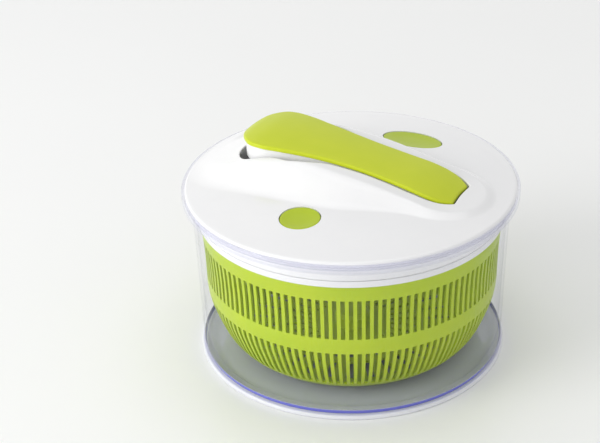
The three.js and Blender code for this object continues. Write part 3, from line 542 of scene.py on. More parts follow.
class Piece:
    """A named mesh made from points and faces in millimetres."""

    def __init__(self, name: str) -> None:
        """Starts an empty piece.

        Args:
            name: The object's name.
        """
        self.name = name
        self.points: list[Points] = []
        self.faces: list[tuple[int, ...]] = []
        self.count = 0

    def skin(self, rings: Sequence[Points], loop: bool = False) -> "Piece":
        """Joins rings of equal length into one surface.

        Args:
            rings: The rings, in order. An end ring may be collapsed to close the surface.
            loop: Whether the last ring joins the first.

        Returns:
            This piece.
        """
        size = len(rings[0])
        base = self.count
        for ring in rings:
            self.points.append(np.asarray(ring, dtype=float))
        self.count += size * len(rings)
        spans = len(rings) if loop else len(rings) - 1
        for i in range(spans):
            low = base + i * size
            high = base + ((i + 1) % len(rings)) * size
            for k in range(size):
                n = (k + 1) % size
                self.faces.append((low + k, low + n, high + n, high + k))
        return self

    def turned(
        self, path: Sequence[tuple[float, float]], segments: int = 192,
        x: float = 0.0, y: float = 0.0, loop: bool = False,
    ) -> "Piece":
        """Turns a path of radius and height about an upright axis; loop joins its ends."""
        return self.skin([circle_ring(max(r, ON_AXIS), z, segments, x, y) for r, z in path], loop)

    def ring(self, corners: Sequence[Corner], segments: int, x: float = 0.0, y: float = 0.0) -> "Piece":
        """Turns a closed section, whose first corner stays sharp, about an upright axis."""
        return self.turned(filleted([*corners, corners[0]])[:-1], segments, x, y, loop=True)

    def block(
        self, low: Sequence[float], high: Sequence[float], edge: float = 0.5, turn: float = 0.0,
    ) -> "Piece":
        """Adds a block with rounded edges.

        Args:
            low: Its lowest corner.
            high: Its highest corner.
            edge: The edge radius.
            turn: Degrees about the upright axis through the origin.

        Returns:
            This piece.
        """
        work = bmesh.new()
        bmesh.ops.create_cube(work, size=1.0)
        size = np.array(high, dtype=float) - np.array(low, dtype=float)
        centre = (np.array(high, dtype=float) + np.array(low, dtype=float)) / 2
        for vert in work.verts:
            vert.co = Vector(centre + np.array(vert.co) * size)
        reach = min(edge, 0.4 * float(size.min()))
        bmesh.ops.bevel(work, geom=work.edges[:], offset=reach, segments=3, profile=0.5, affect="EDGES")
        spin = Matrix.Rotation(math.radians(turn), 3, "Z")
        bmesh.ops.rotate(work, verts=work.verts[:], cent=(0, 0, 0), matrix=spin)
        work.verts.ensure_lookup_table()
        base = self.count
        self.points.append(np.array([vert.co[:] for vert in work.verts]))
        self.count += len(work.verts)
        self.faces.extend(tuple(base + vert.index for vert in face.verts) for face in work.faces)
        work.free()
        return self

    def rod(self, radius: float, y0: float, y1: float, x: float, z: float, edge: float = 0.4) -> "Piece":
        """Adds a round bar along Y with rounded ends.

        Args:
            radius: Its radius.
            y0: Its near end.
            y1: Its far end.
            x: The axis's x.
            z: The axis's height.
            edge: The radius of its end edges.

        Returns:
            This piece.
        """
        rings = []
        for r, y in filleted([(0, y0, 0), (radius, y0, edge), (radius, y1, edge), (0, y1, 0)]):
            ring = circle_ring(max(r, ON_AXIS), y, 40)
            rings.append(np.stack([x + ring[:, 0], ring[:, 2], z - ring[:, 1]], -1))
        return self.skin(rings)

    def build(self, sharp: float = 38.0) -> bpy.types.Object:
        """Makes the object, with coincident points merged and its faces turned outwards.

        Args:
            sharp: Edges above this angle stay sharp, in degrees.

        Returns:
            The object.
        """
        mesh = bpy.data.meshes.new(self.name)
        mesh.from_pydata((np.concatenate(self.points) * MM).tolist(), [], self.faces)
        work = bmesh.new()
        work.from_mesh(mesh)
        bmesh.ops.remove_doubles(work, verts=work.verts[:], dist=2e-6)
        bmesh.ops.recalc_face_normals(work, faces=work.faces[:])
        work.to_mesh(mesh)
        work.free()
        mesh.shade_smooth()
        mesh.set_sharp_from_angle(angle=math.radians(sharp))
        obj = bpy.data.objects.new(self.name, mesh)
        bpy.context.scene.collection.objects.link(obj)
        return obj


def cut(obj: bpy.types.Object, cutters: Sequence[bpy.types.Object], sharp: float = 38.0) -> None:
    """Cuts solids out of a piece and removes the cutters.

    Args:
        obj: The piece.
        cutters: The solids to take away.
        sharp: Edges above this angle stay sharp, in degrees.
    """
    for cutter in cutters:
        modifier = obj.modifiers.new("cut", "BOOLEAN")
        modifier.operation = "DIFFERENCE"
        modifier.solver = "EXACT"
        modifier.object = cutter
    graph = bpy.context.evaluated_depsgraph_get()
    result = bpy.data.meshes.new_from_object(obj.evaluated_get(graph))
    obj.modifiers.clear()
    old = obj.data
    obj.data = result
    bpy.data.meshes.remove(old)
    result.name = obj.name
    result.shade_smooth()
    result.set_sharp_from_angle(angle=math.radians(sharp))
    for cutter in cutters:
        bpy.data.objects.remove(cutter)


def drum(
    size: tuple[float, float], z: tuple[float, float], place: tuple[float, float], segments: int = 128,
) -> bpy.types.Object:
    """Makes an upright oval solid to cut with.

    Args:
        size: Its half length and half width.
        z: Its lowest and highest point.
        place: Its axis.
        segments: Facets round the axis.

    Returns:
        The solid.
    """
    rings = []
    for share, height in ((ON_AXIS, z[0]), (1, z[0]), (1, z[1]), (ON_AXIS, z[1])):
        rings.append(circle_ring(share, height, segments) * (*size, 1) + (*place, 0))
    return Piece("cut").skin(rings).build()


class Workshop:
    """Makes each finish once and fits pieces to the model."""

    def __init__(self) -> None:
        """Builds the finishes."""
        self.materials = {slot: finish.make() for slot, finish in FINISHES.items()}
        self.shaded_limes = {tone: finish.make() for tone, finish in SHADED_LIMES.items()}

    def fit(
        self, obj: bpy.types.Object, slot: Slot, body: str, *nodes: str, tone: ShadedLime | None = None,
    ) -> bpy.types.Object:
        """Dresses a piece and ties it to its body.

        Args:
            obj: The piece.
            slot: Its material slot.
            body: The body it rides on.
            *nodes: The nodes that it stands for.
            tone: A darker copy of the slot's finish, with painted shade, used in its place.

        Returns:
            The piece.
        """
        obj.data.materials.clear()
        obj.data.materials.append(self.shaded_limes[tone] if tone else self.materials[slot])
        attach(obj, body)
        if nodes:
            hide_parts(*nodes)
        LOG.info("%s: %d faces on %s", obj.name, len(obj.data.polygons), body)
        return obj

    def dress_nodes(self, packed: dict) -> None:
        """Gives every node of the model its finish.
        """
        for row in packed["record"]["subparts"]:
            obj = packed["nodes"][row["node"]]
            material = self.materials[Slot(row["material_slot"])]
            if not obj.material_slots:
                obj.data.materials.append(material)
            for holder in obj.material_slots:
                holder.material = material


# ---------------------------------------------------------------------- shared shapes
@dataclass(frozen=True)
class LidSurface:
    """The lid's top face: a shallow dome with a ridge round the lever."""

    radius: float = 125.0
    edge_top: float = 135.5
    dome_rise: float = 8.0
    spine: tuple[float, float] = (-78.0, 72.0)
    half_width: float = 33.0
    fall: float = 28.0
    hinge_fall: float = 9.0
    rim_blend: float = 6.0
    rise: tuple[tuple[float, float], ...] = (
        (-122, 0), (-105, 3.4), (-85, 8.6), (-60, 16), (-28, 18.5),
        (13, 14.2), (60, 6.8), (88, 2.6), (105, 2), (125, 2),
    )

    def height(self, x: Points, y: Points) -> Points:
        """Height of the top face.

        Args:
            x: Places along the lever.
            y: Places across it.

        Returns:
            The heights.
        """
        radius = np.hypot(x, y)
        dome = self.edge_top + self.dome_rise * (1 - (radius / self.radius) ** 2)
        nearest = np.clip(x, *self.spine)
        away = np.hypot(x - nearest, y)
        fall = self.fall + (self.hinge_fall - self.fall) * ease(x / self.spine[1])
        lift = smooth_table(self.rise, x) * (1 - ease((away - self.half_width) / fall))
        return dome + lift * ease((self.radius - radius) / self.rim_blend)


@dataclass(frozen=True)
class LeverShape:
    """Plan and top line of the lever."""

    plan: tuple[tuple[float, float], ...] = (
        (88, 15), (80, 20.3), (70, 22.8), (60, 23.1), (40, 22.3), (13, 22.4), (-10, 24.5), (-30, 27.6),
        (-45, 30.4), (-60, 31.8), (-69, 29.8), (-76, 23.8), (-81.5, 16), (-84.6, 8), (-85.4, 0),
    )
    end_hollow: float = 0.9
    top_line: tuple[tuple[float, float], ...] = (
        (-95, 156.5), (-88, 161.5), (-80, 166.6), (-70, 168.8), (-50, 168.8), (-30, 166.8), (13, 160.5),
        (40, 155.8), (60, 151.8), (74, 147.6), (88, 142.2), (95, 139.8),
    )
    body_line: tuple[tuple[float, float], ...] = (
        (-95, 148), (-63, 151), (-30, 150.5), (13, 144), (60, 135.5), (95, 132.5),
    )
    crown: float = 2.2
    crown_width: float = 32.0
    spine: tuple[float, float] = (-58.0, 66.0)
    smoothing: int = 14

    def outline(self, offset: float, count: int = 480) -> Points:
        """Plan of the lever moved outwards.

        Args:
            offset: How far outwards.
            count: Points round it.

        Returns:
            Points in counter-clockwise order.
        """
        far = np.array(self.plan, dtype=float)
        side = np.concatenate([far, far[-2::-1] * (1, -1)])
        length = np.concatenate([[0], np.cumsum(np.hypot(*np.diff(side, axis=0).T))])
        t = np.linspace(0, length[-1], 1200)
        xs = smooth_table(list(zip(length, side[:, 0])), t)
        ys = smooth_table(list(zip(length, side[:, 1])), t)
        across = np.linspace(-1, 1, 80)[1:-1]
        end_x, end_y = self.plan[0]
        xs = np.concatenate([xs, end_x - self.end_hollow * (1 - across**2)])
        ys = np.concatenate([ys, across * end_y])
        loop = np.stack([xs, ys], -1)
        for _ in range(self.smoothing):
            loop = (np.roll(loop, 1, 0) + 2 * loop + np.roll(loop, -1, 0)) / 4
        closed = np.concatenate([loop, loop[:1]])
        along = np.concatenate([[0], np.cumsum(np.hypot(*np.diff(closed, axis=0).T))])
        where = np.linspace(0, along[-1], count, endpoint=False)
        even = np.stack([np.interp(where, along, closed[:, k]) for k in (0, 1)], -1)
        return push_out(even, offset)

    def top(self, x: Points, y: Points) -> Points:
        """Height of the cover's top face at places along and across the lever."""
        return smooth_table(self.top_line, x) - self.crown * (y / self.crown_width) ** 2

    def under(self, drop: float) -> HeightMap:
        """A face that lies a drop below the cover's top face."""
        return lambda x, y: self.top(x, y) - drop

    def body_bottom(self, x: Points, _y: Points) -> Points:
        """Height of the lower edge of the body's walls, the same right across."""
        return smooth_table(self.body_line, x)


LID_SURFACE = LidSurface()
LEVER_SHAPE = LeverShape()
EDGE_ROWS = 6  # rings in a rounded edge


def cap_rings(
    outline: Points, spine: tuple[Points, Points], height: HeightMap, radius: float, inner_rows: int = 14,
) -> list[Points]:
    """Rings from an outline's rounded edge in to its middle.

    Args:
        outline: The plan outline.
        spine: The lowest and highest point of the line that the rings close on.
        height: The face's height.
        radius: The edge's radius.
        inner_rows: Rows past the rounding.

    Returns:
        The rings, the edge first.
    """
    start, end = np.asarray(spine[0], dtype=float), np.asarray(spine[1], dtype=float)
    line = end - start
    size = float(line @ line)
    share = np.clip(((outline - start) @ line) / size, 0, 1) if size > 0 else np.zeros(len(outline))
    middle = start + share[:, None] * line
    span = np.linalg.norm(outline - middle, axis=1, keepdims=True)
    rings = []
    for depth in radius * (1 - np.cos(np.linspace(0, math.pi / 2, EDGE_ROWS))):
        plan = outline + (middle - outline) * np.minimum(depth / np.maximum(span, 1e-6), 1)
        rings.append(on_surface(plan, height, -round_drop(depth, radius)))
    for i in range(1, inner_rows + 1):
        inward = (radius + (span - radius) * (i / inner_rows)) / np.maximum(span, 1e-6)
        rings.append(on_surface(outline + (middle - outline) * np.clip(inward, 0, 1), height))
    return rings


# ---------------------------------------------------------------------- bowl
@dataclass
class OuterBowl:
    """Clear bowl, its spindle and its foot ring."""

    base: float = 3.5
    floor_top: float = 6.0
    segments: int = 256

    def build(self, shop: Workshop) -> None:
        """Makes the bowl.

        Args:
            shop: The workshop.
        """
        path = filleted([
            (0, self.base, 0), (116.0, self.base, 1.2), (116.9, 9, 2), (118.4, 64, 8), (120.3, 124.2, 2.5),
            (122.4, 126.0, 2), (126.3, 126.5, 1.6), (127.3, 129, 2), (127.3, 134.4, 0.8), (125.6, 134.4, 0.7),
            (125.6, 129.3, 0.8), (118.9, 129.3, 0.8), (118.3, 124.4, 2), (116.4, 64, 8), (114.6, 14, 5),
            (112.8, 7.2, 3.2), (107.5, self.floor_top, 4), (9.6, self.floor_top, 1.4), (7.8, 8.2, 1.5),
            (7.0, 14.6, 1.2), (5.2, 15.9, 1.2), (0, 15.9, 0),
        ], 7)
        bowl = Piece("outer_bowl_clear").turned(path, self.segments).build(60)
        shop.fit(bowl, Slot.CLEAR, "bowl", "outer_bowl")

        foot = Piece("foot_ring_satin").ring([
            (108, 0, 0), (118.6, 0, 0.9), (119, 1.2, 0.8), (118.2, 3.3, 0.9), (109, 3.3, 0.8),
        ], self.segments)
        shop.fit(foot.build(), Slot.FOOT, "bowl", "foot_ring")


# ---------------------------------------------------------------------- basket
class Span(Enum):
    """What the stretch of basket below a row is."""

    PLAIN = 0
    WALL_SLOTS = 1
    FLOOR_SLOTS = 2


@dataclass
class SlottedBasket:
    """Basket with two rows of narrow upright slots and a slotted floor."""

    slots: int = 120
    slot_share: float = 0.54
    corner: float = 0.05
    wall: float = 2.0
    rim_z: float = 110.2
    upper_row: tuple[float, float] = (65.0, 98.0)
    lower_row: tuple[float, float] = (17.0, 52.5)
    slot_round: float = 0.3
    axis_radius: float = 0.001
    hub_top: float = 21.4
    lip: tuple[tuple[float, float], ...] = ((0.35, 0.25), (0.5, 1.0), (0.35, 1.75))
    profile: tuple[tuple[float, float], ...] = (
        (110.2, 115.0), (104, 114.3), (98, 113.6), (82, 112.5), (65, 112.1), (56, 111.9), (52.5, 111.5),
        (45, 109.9), (38, 107.5), (30, 104.4), (22, 100.8), (17, 97.4), (12.5, 93.2), (9.6, 89.2),
    )

    def slot_rows(self, ends: tuple[float, float], steps: int) -> list[tuple[float, float, Span]]:
        """Rows down one band of slots, as wall_rows gives them.

        Args:
            ends: The slots' lowest and highest point.
            steps: Spans down the band.

        Returns:
            The rows.
        """
        low, high = ends
        rows = [(high + (low - high) * i / steps, float(i == 0), Span.WALL_SLOTS) for i in range(steps)]
        return [*rows, (low, -1.0, Span.PLAIN)]

    def wall_rows(self) -> list[tuple[float, float, Span]]:
        """Rows down the wall: the height, the nudge that rounds a slot's end, and what lies below."""
        return [
            *((z, 0.0, Span.PLAIN) for z in (self.rim_z - 0.5, 107, 102.5)),
            *self.slot_rows(self.upper_row, 6),
            (58.8, 0.0, Span.PLAIN),
            *self.slot_rows(self.lower_row, 9),
            *((z, 0.0, Span.PLAIN) for z in (14.2, 11.6)),
        ]

    def columns(self) -> tuple[Points, Points]:
        """Places round the basket.

        Returns:
            Angles, and which of them lie inside a slot's width.
        """
        pitch = 2 * math.pi / self.slots
        marks = [0.0, self.corner, self.slot_share - self.corner, self.slot_share]
        angles = [pitch * (k + mark) for k in range(self.slots) for mark in marks]
        inner = [flag for _ in range(self.slots) for flag in (0, 1, 1, 0)]
        return np.array(angles), np.array(inner)

    def shell(self) -> Piece:
        """Makes the slotted shell.

        Returns:
            The piece.
        """
        angles, inner = self.columns()
        heights, radii, spans = [], [], []
        for z, nudge, below in self.wall_rows():
            heights.append(z - nudge * (1 - inner) * self.slot_round)
            radii.append(smooth_table(self.profile, heights[-1]))
            spans.append(below)
        plain, slots = Span.PLAIN, Span.FLOOR_SLOTS
        for radius, z, below in (
            (90.6, 10.4, plain), (87.4, 9.0, plain), (83.6, 8.3, plain), (80, 8.2, slots), (58, 8.2, plain),
            (52, 8.2, slots), (30, 8.2, plain), (16.5, 8.2, plain), (12.4, 8.2, plain), (11.9, 8.9, plain),
            (11.8, 18.4, plain), (11, 19.2, plain), (self.axis_radius, 19.2, plain),
        ):
            heights.append(np.full(len(angles), z))
            radii.append(np.full(len(angles), radius))
            spans.append(below)
        outside = np.stack([np.array(radii), np.array(heights)], -1)
        return self.weave(angles, outside, self.offset(outside), spans)

    def offset(self, outside: Points) -> Points:
        """Inner face a wall's thickness in from the outer one.

        Args:
            outside: Radius and height for each row and column.

        Returns:
            The same for the inner face.
        """
        path = outside[:, 0, :]
        direction = np.gradient(path, axis=0)
        direction /= np.linalg.norm(direction, axis=1, keepdims=True)
        shift = np.stack([direction[:, 1], -direction[:, 0]], -1) * self.wall
        inside = outside + shift[:, None, :]
        upright = 3
        inside[:upright] = outside[:upright] - (self.wall, 0)
        inside[-1] = (self.axis_radius, self.hub_top)
        return inside

    def weave(self, angles: Points, outside: Points, inside: Points, spans: Sequence[Span]) -> Piece:
        """Joins both faces, leaving the slots open.

        Args:
            angles: Places round the basket.
            outside: Outer radius and height for each row and column.
            inside: The same for the inner face.
            spans: What lies below each row.

        Returns:
            The piece.
        """
        piece = Piece("slotted_basket")
        total, rows = len(angles), len(outside)
        piece.points = [around(angles, row[:, 0], row[:, 1]) for row in (*outside, *inside)]
        for lift, inset in self.lip:
            piece.points.append(around(angles, outside[0, :, 0] - inset, outside[0, :, 1] + lift))
        piece.count = len(piece.points) * total

        def at(ring: int, k: int) -> int:
            """Number of a point, by its ring and column."""
            return ring * total + k % total

        def opened(row: int, k: int) -> bool:
            """Whether the wall below a row is open, after a column."""
            kind = spans[row] if 0 <= row < rows - 1 else Span.PLAIN
            if kind is Span.WALL_SLOTS:
                return k % 4 != 3
            return kind is Span.FLOOR_SLOTS and k % total % 16 in range(5, 10)

        for row in range(rows - 1):
            for k in range(total):
                a, b, c, d = at(row, k), at(row + 1, k), at(row + 1, k + 1), at(row, k + 1)
                e, f, g, h = (number + rows * total for number in (a, b, c, d))
                if not opened(row, k):
                    piece.faces += [(a, b, c, d), (h, g, f, e)]
                    continue
                walls = (
                    (row, k - 1, (a, b, f, e)), (row, k + 1, (h, g, c, d)),
                    (row - 1, k, (d, a, e, h)), (row + 1, k, (b, c, g, f)),
                )
                piece.faces += [face for next_row, column, face in walls if not opened(next_row, column)]
        over_lip = [0, *range(2 * rows, 2 * rows + len(self.lip)), rows]
        for k in range(total):
            for near, far in zip(over_lip, over_lip[1:]):
                piece.faces.append((at(near, k), at(near, k + 1), at(far, k + 1), at(far, k)))
        return piece

    def build(self, shop: Workshop) -> None:
        """Makes the basket and the cup it turns on.

        Args:
            shop: The workshop.
        """
        # The basket and its ribs wear the lime copy darkened with painted shade.
        shop.fit(self.shell().build(32), Slot.LIME, "basket", "basket", tone=ShadedLime.BASKET)
        for i in range(3):
            rib = Piece(f"basket_drive_rib_{i + 1}")
            rib.block((109.6, -1.5, 98.6), (112.8, 1.5, 109.6), 0.6, 30 + 120 * i)
            shop.fit(rib.build(), Slot.LIME, "basket", tone=ShadedLime.BASKET)
        cup = Piece("pivot_cup_turned").turned(filleted([
            (0, 16.2, 0), (7.4, 16.2, 0.8), (8.4, 15.2, 0.6), (8.8, 8.6, 0.4), (11, 8.6, 0.5),
            (11, 17.8, 0.8), (10.4, 18.4, 0.5), (0, 18.4, 0),
        ]), 96)
        shop.fit(cup.build(), Slot.ACETAL, "pivot_cup", "basket_pivot_cup")


# ---------------------------------------------------------------------- lid
@dataclass
class DomedLid:
    """White lid: shell with the lever's trough, and the base with its skirt."""

    trough_gap: float = 1.5
    trough_wall: float = 2.0
    trough_bottom: float = 123.0
    trough_edge: float = 9.0
    swing: float = 2.4
    bulge: float = 4.5
    shell: float = 2.4
    lip: float = 1.3
    rim: float = 1.7
    edge_bottom: float = 131.5
    button_gap: float = 0.5
    cut_z: tuple[float, float] = (110.0, 160.0)
    bore_z: tuple[float, float] = (110.0, 121.0)
    stem_bore: float = 5.5
    screws: int = 6
    screw_ring: float = 106.0
    screw_start: float = 22.0
    floor: float = 117.0
    shaft: tuple[float, float] = (-24.938, 137.0)

    def screw_places(self) -> list[tuple[float, float]]:
        """Axes of the lid's screws."""
        angles = [math.radians(self.screw_start + 360 / self.screws * i) for i in range(self.screws)]
        return [(self.screw_ring * math.cos(a), self.screw_ring * math.sin(a)) for a in angles]

    def trough(self) -> Points:
        """Plan of the trough, wider than the lever beside its middle and longer at its free end."""
        plan = LEVER_SHAPE.outline(self.trough_gap, 560)
        back = -plan[:, 0]
        plan[:, 1] += np.sign(plan[:, 1]) * self.bulge * ease(back / 26) * (1 - ease((back - 32) / 18))
        plan[:, 0] -= self.swing * ease((back - 40) / 30)
        return plan

    def shell_rings(self) -> list[Points]:
        """Closed rings round the shell's section.

        Returns:
            The rings, which join end to end.
        """
        inner = self.trough()
        angle = np.arctan2(inner[:, 1], inner[:, 0])
        outer = around(angle, LID_SURFACE.radius, angle)[:, :2]
        span = np.linalg.norm(outer - inner, axis=1, keepdims=True)
        toward = (outer - inner) / span
        top, lip, rim = LID_SURFACE.height, self.lip, self.rim
        bend = 1 - np.cos(np.linspace(0, math.pi / 2, 7))
        rings = [at_height(inner, self.trough_bottom), on_surface(inner, top, -self.trough_edge)]
        rings += [on_surface(inner + toward * d, top, -round_drop(d, lip)) for d in lip * bend]
        for t in np.arange(1, 58) / 58:
            rings.append(on_surface(inner + toward * (lip + (span - lip - rim) * t), top))
        rings += [on_surface(outer - toward * d, top, -round_drop(d, rim)) for d in rim * bend[::-1]]
        for depth, lift in ((0, 0.5), (0.4, 0), (2.2, 0)):
            rings.append(at_height(outer - toward * depth, self.edge_bottom + lift))
        under, outside = outer - toward * 2.6, inner + toward * self.trough_wall
        rings += [on_surface(under + (outside - under) * t, top, -self.shell) for t in np.arange(14) / 14]
        return [*rings, on_surface(outside, top, -self.shell - 0.4), at_height(outside, self.trough_bottom)]

    def build_shell(self, shop: Workshop) -> None:
        """Makes the domed shell.

        Args:
            shop: The workshop.
        """
        shell = Piece("domed_lid_shell").skin(self.shell_rings(), loop=True).build(34)
        cutters = [
            drum((button.half_length + self.button_gap, button.half_width + self.button_gap),
                 self.cut_z, (button.x, button.y)) for button in BUTTONS
        ]
        cutters.append(Piece("cut").block((-7, -36, 125.5), (-1, -22, 130.5), 0.3).build())
        cut(shell, cutters, 34)
        shop.fit(shell, Slot.LID, "lid", "lid_shell")
        for i, (x, y) in enumerate(self.screw_places()):
            foot = circle_ring(5.0, 0.0, 24, x, y)
            top = float(LID_SURFACE.height(foot[:, 0], foot[:, 1]).min()) - 1.2
            boss = Piece(f"lid_boss_{i + 1}").ring([
                (1.6, 122.2, 0), (4.0, 122.2, 0.5), (4.3, top, 0), (0, top, 0), (0, 130, 0), (1.6, 130, 0),
            ], 48, x, y)
            shop.fit(boss.build(), Slot.LID, "lid")

    def build_base(self, shop: Workshop) -> None:
        """Makes the lid's base, bored for the brake's stem and the screws.

        Args:
            shop: The workshop.
        """
        base = Piece("lid_base_moulding").ring([
            (5.1, 116, 0), (116.4, 116, 0.8), (117.2, 117.2, 0.6), (117.2, 129.6, 0.7), (124.5, 129.6, 0.6),
            (124.5, 131.3, 0.5), (115.2, 131.3, 0.5), (115.2, 118, 1.0), (5.1, 118, 0),
        ], 224).build()
        low, high = self.bore_z
        stepped = [(0, low), (3.8, low), (3.8, 117.4), (1.9, 117.4), (1.9, high), (0, high)]
        cutters = [drum((self.stem_bore, self.stem_bore), self.bore_z, BRAKE, 64)]
        cutters += [Piece("cut").turned(stepped, 48, x, y).build() for x, y in self.screw_places()]
        cut(base, cutters)
        shop.fit(base, Slot.LID, "lid", "lid_base")

    def build_posts(self, shop: Workshop) -> None:
        """Makes the posts and tubes on the base that carry the drive, the buttons and the bolt.

        Args:
            shop: The workshop.
        """
        posts = Piece("lid_base_posts")
        x, z = HINGE
        for y0, y1 in ((-16.4, -13.4), (13.4, 16.4)):
            posts.block((x - 3.4, y0, self.floor), (x + 3.4, y1, z), 0.7)
            posts.rod(3.4, y0, y1, x, z)
        x, z = self.shaft
        posts.block((x - 3.6, -13, self.floor), (x + 3.6, -10, z + 4), 0.7)
        for x, y in self.screw_places():
            posts.ring([(2, 117.2, 0), (5.4, 117.2, 0), (5.2, 122, 0.5), (2, 122, 0.4)], 40, x, y)
        for inner, outer, top, edge, segments, place in (
            (8.6, 10.4, 126, 0.5, 64, BRAKE), (4.2, 5.6, 124, 0.4, 48, (LOCK[0], LOCK_SPRING_Y)),
        ):
            tube = [(inner, 117.5, 0), (outer, 117.5, 0), (outer, top, edge), (inner, top, edge)]
            posts.ring(tube, segments, *place)
        for x0, x1, top in ((-8.9, -6.9, 131), (-1.1, 0.9, 131), (-7, -1, 125.6)):
            posts.block((x0, -60, self.floor), (x1, -36, top), 0.5)
        shop.fit(posts.build(), Slot.LID, "lid")

    def build(self, shop: Workshop) -> None:
        """Makes the lid.

        Args:
            shop: The workshop.
        """
        self.build_shell(shop)
        self.build_base(shop)
        self.build_posts(shop)


# ---------------------------------------------------------------------- lever
@dataclass
class PressLever:
    """Wide green cover over a white hollow body."""

    cover_thick: float = 3.0
    cover_gap: float = 0.2
    tab_y: tuple[float, float] = (-22.4, -20.2)
    edge: float = 1.1
    inset: float = 1.7
    wall: float = 2.0
    roof: float = 1.6

    def cap(self, plan: Points, height: HeightMap, edge: float, rows: int = 8) -> list[Points]:
        """Rings from an outline in to the lever's spine, as cap_rings gives them."""
        low, high = LEVER_SHAPE.spine
        return cap_rings(plan, (np.array([low, 0.0]), np.array([high, 0.0])), height, edge, rows)

    def build_cover(self, shop: Workshop) -> None:
        """Makes the cover.

        Args:
            shop: The workshop.
        """
        plan = LEVER_SHAPE.outline(0.0)
        top = self.cap(plan, LEVER_SHAPE.top, self.edge, 16)
        underside = LEVER_SHAPE.under(self.cover_thick)
        below = self.cap(plan, underside, 0.4)
        for ring in below[:EDGE_ROWS]:
            ring[:, 2] = 2 * underside(ring[:, 0], ring[:, 1]) - ring[:, 2]
        cover = Piece("lever_cover_paddle").skin(top[::-1] + below)
        shop.fit(cover.build(40), Slot.LIME, "lever", "lever_cover")

    def build_body(self, shop: Workshop) -> None:
        """Makes the hollow body, its hinge bosses and the tab that catches the bolt.

        Args:
            shop: The workshop.
        """
        outer = LEVER_SHAPE.outline(-self.inset)
        inner = LEVER_SHAPE.outline(-self.inset - self.wall)
        drop = self.cover_thick + self.cover_gap
        roof, bottom = LEVER_SHAPE.under(drop + self.roof), LEVER_SHAPE.body_bottom
        rings = self.cap(outer, LEVER_SHAPE.under(drop), 0.4)[::-1]
        for share, lift in ((0, 0.6), (0.25, 0.15), (0.5, 0), (0.75, 0.15), (1, 0.6)):
            rings.append(on_surface(outer + (inner - outer) * share, bottom, lift))
        rings.append(on_surface(inner, roof, -0.6))
        rings += self.cap(inner, roof, 0.3)[EDGE_ROWS - 1:]
        body = Piece("lever_body_channel").skin(rings)
        x, z = HINGE
        for y0, y1 in ((-13.0, -7.4), (7.4, 13.0)):
            body.block((x - 3.4, y0, z), (x + 3.4, y1, z + 6.1), 0.5)
            body.rod(4.2, y0, y1, x, z)
        near, far = self.tab_y
        tab = ((-9, -7, 131, 156), (-1, 1, 131, 156), (-9, 1, 131, 133.6), (-9, 1, 138.6, 156))
        for x0, x1, z0, z1 in tab:
            body.block((x0, near, z0), (x1, far, z1), 0.4)
        shop.fit(body.build(40), Slot.LID, "lever", "lever_body")

    def build(self, shop: Workshop) -> None:
        """Makes the cover and the body with the workshop."""
        self.build_cover(shop)
        self.build_body(shop)


# ---------------------------------------------------------------------- buttons
@dataclass
class PushButton:
    """Hollow cap flush with the lid."""

    name: str
    node: str
    x: float
    y: float
    half_length: float
    half_width: float
    skirt_bottom: float
    dish: float = 0.9
    sunk: float = 0.3
    roof_drop: float = 2.6
    wall: float = 1.8
    flange: float = 1.4
    flange_height: float = 1.3

    def plan(self, inset: float) -> Points:
        """Plan outline, moved inwards by an inset."""
        size = (self.half_length - inset, self.half_width - inset)
        return circle_ring(1.0, 0.0, 144)[:, :2] * size + (self.x, self.y)

    def face(self, x: Points, y: Points) -> Points:
        """Height of the button's slightly dished face."""
        share = ((x - self.x) / self.half_length) ** 2 + ((y - self.y) / self.half_width) ** 2
        return LID_SURFACE.height(x, y) - self.sunk - self.dish * (1 - ease(share))

    def roof(self, x: Points, y: Points) -> Points:
        """Height of the hollow's roof."""
        return LID_SURFACE.height(x, y) - self.roof_drop

    def build(self, shop: Workshop) -> None:
        """Makes the button.

        Args:
            shop: The workshop.
        """
        centre = np.array([self.x, self.y])
        plan, inner, flange = self.plan(0), self.plan(self.wall), self.plan(-self.flange)
        rings = cap_rings(plan, (centre, centre), self.face, 0.6, 14)[::-1]
        low = self.skirt_bottom
        step = low + self.flange_height
        rings += [at_height(*pair) for pair in ((plan, step), (flange, step), (flange, low), (inner, low))]
        rings += cap_rings(inner, (centre, centre), self.roof, 0.3, 6)[EDGE_ROWS - 1:]
        button = Piece(self.name).skin(rings)
        self.add_inner(button)
        # The buttons wear the lime copy darkened with painted shade.
        shop.fit(button.build(40), Slot.LIME, self.node, self.node, tone=ShadedLime.BUTTON)

    def add_inner(self, button: Piece) -> None:
        """Adds what hangs under the cap to the button's mesh."""
        raise NotImplementedError


class BrakeButton(PushButton):
    """Far, oval button, whose socket holds the brake's stem."""

    def add_inner(self, button: Piece) -> None:
        """Adds the socket to the button's mesh."""
        button.ring([(4.3, 131, 0), (7.8, 131, 0), (7.8, 138, 0), (4.3, 138, 0)], 48, self.x, self.y)


class LockButton(PushButton):
    """Near, round button, whose wedge draws the bolt."""

    wedge_x: tuple[float, float] = (-7.0, -1.0)
    wedge_back: float = -77.8
    wedge_toe: tuple[float, float] = (-72.6, 126.0)
    wedge_slope: float = 1.25

    def add_inner(self, button: Piece) -> None:
        """Adds the spring's peg and the wedge.

        Args:
            button: The button's mesh.
        """
        peg = filleted([(0, 132, 0), (4, 132, 0.6), (4, 138, 0), (0, 138, 0)])
        button.turned(peg, 40, self.x, LOCK_SPRING_Y)
        toe_y, toe_z = self.wedge_toe
        low, high = (toe_y + self.wedge_slope * (z - toe_z) for z in (127.0, 132.5))
        side = [(self.wedge_back, 127), (low, 127), (high, 132.5), (high, 138), (self.wedge_back, 138)]
        first = button.count
        button.skin([np.array([(x, y, z) for y, z in side]) for x in self.wedge_x])
        button.faces.append(tuple(range(first, first + 5)))
        button.faces.append(tuple(range(first + 9, first + 4, -1)))


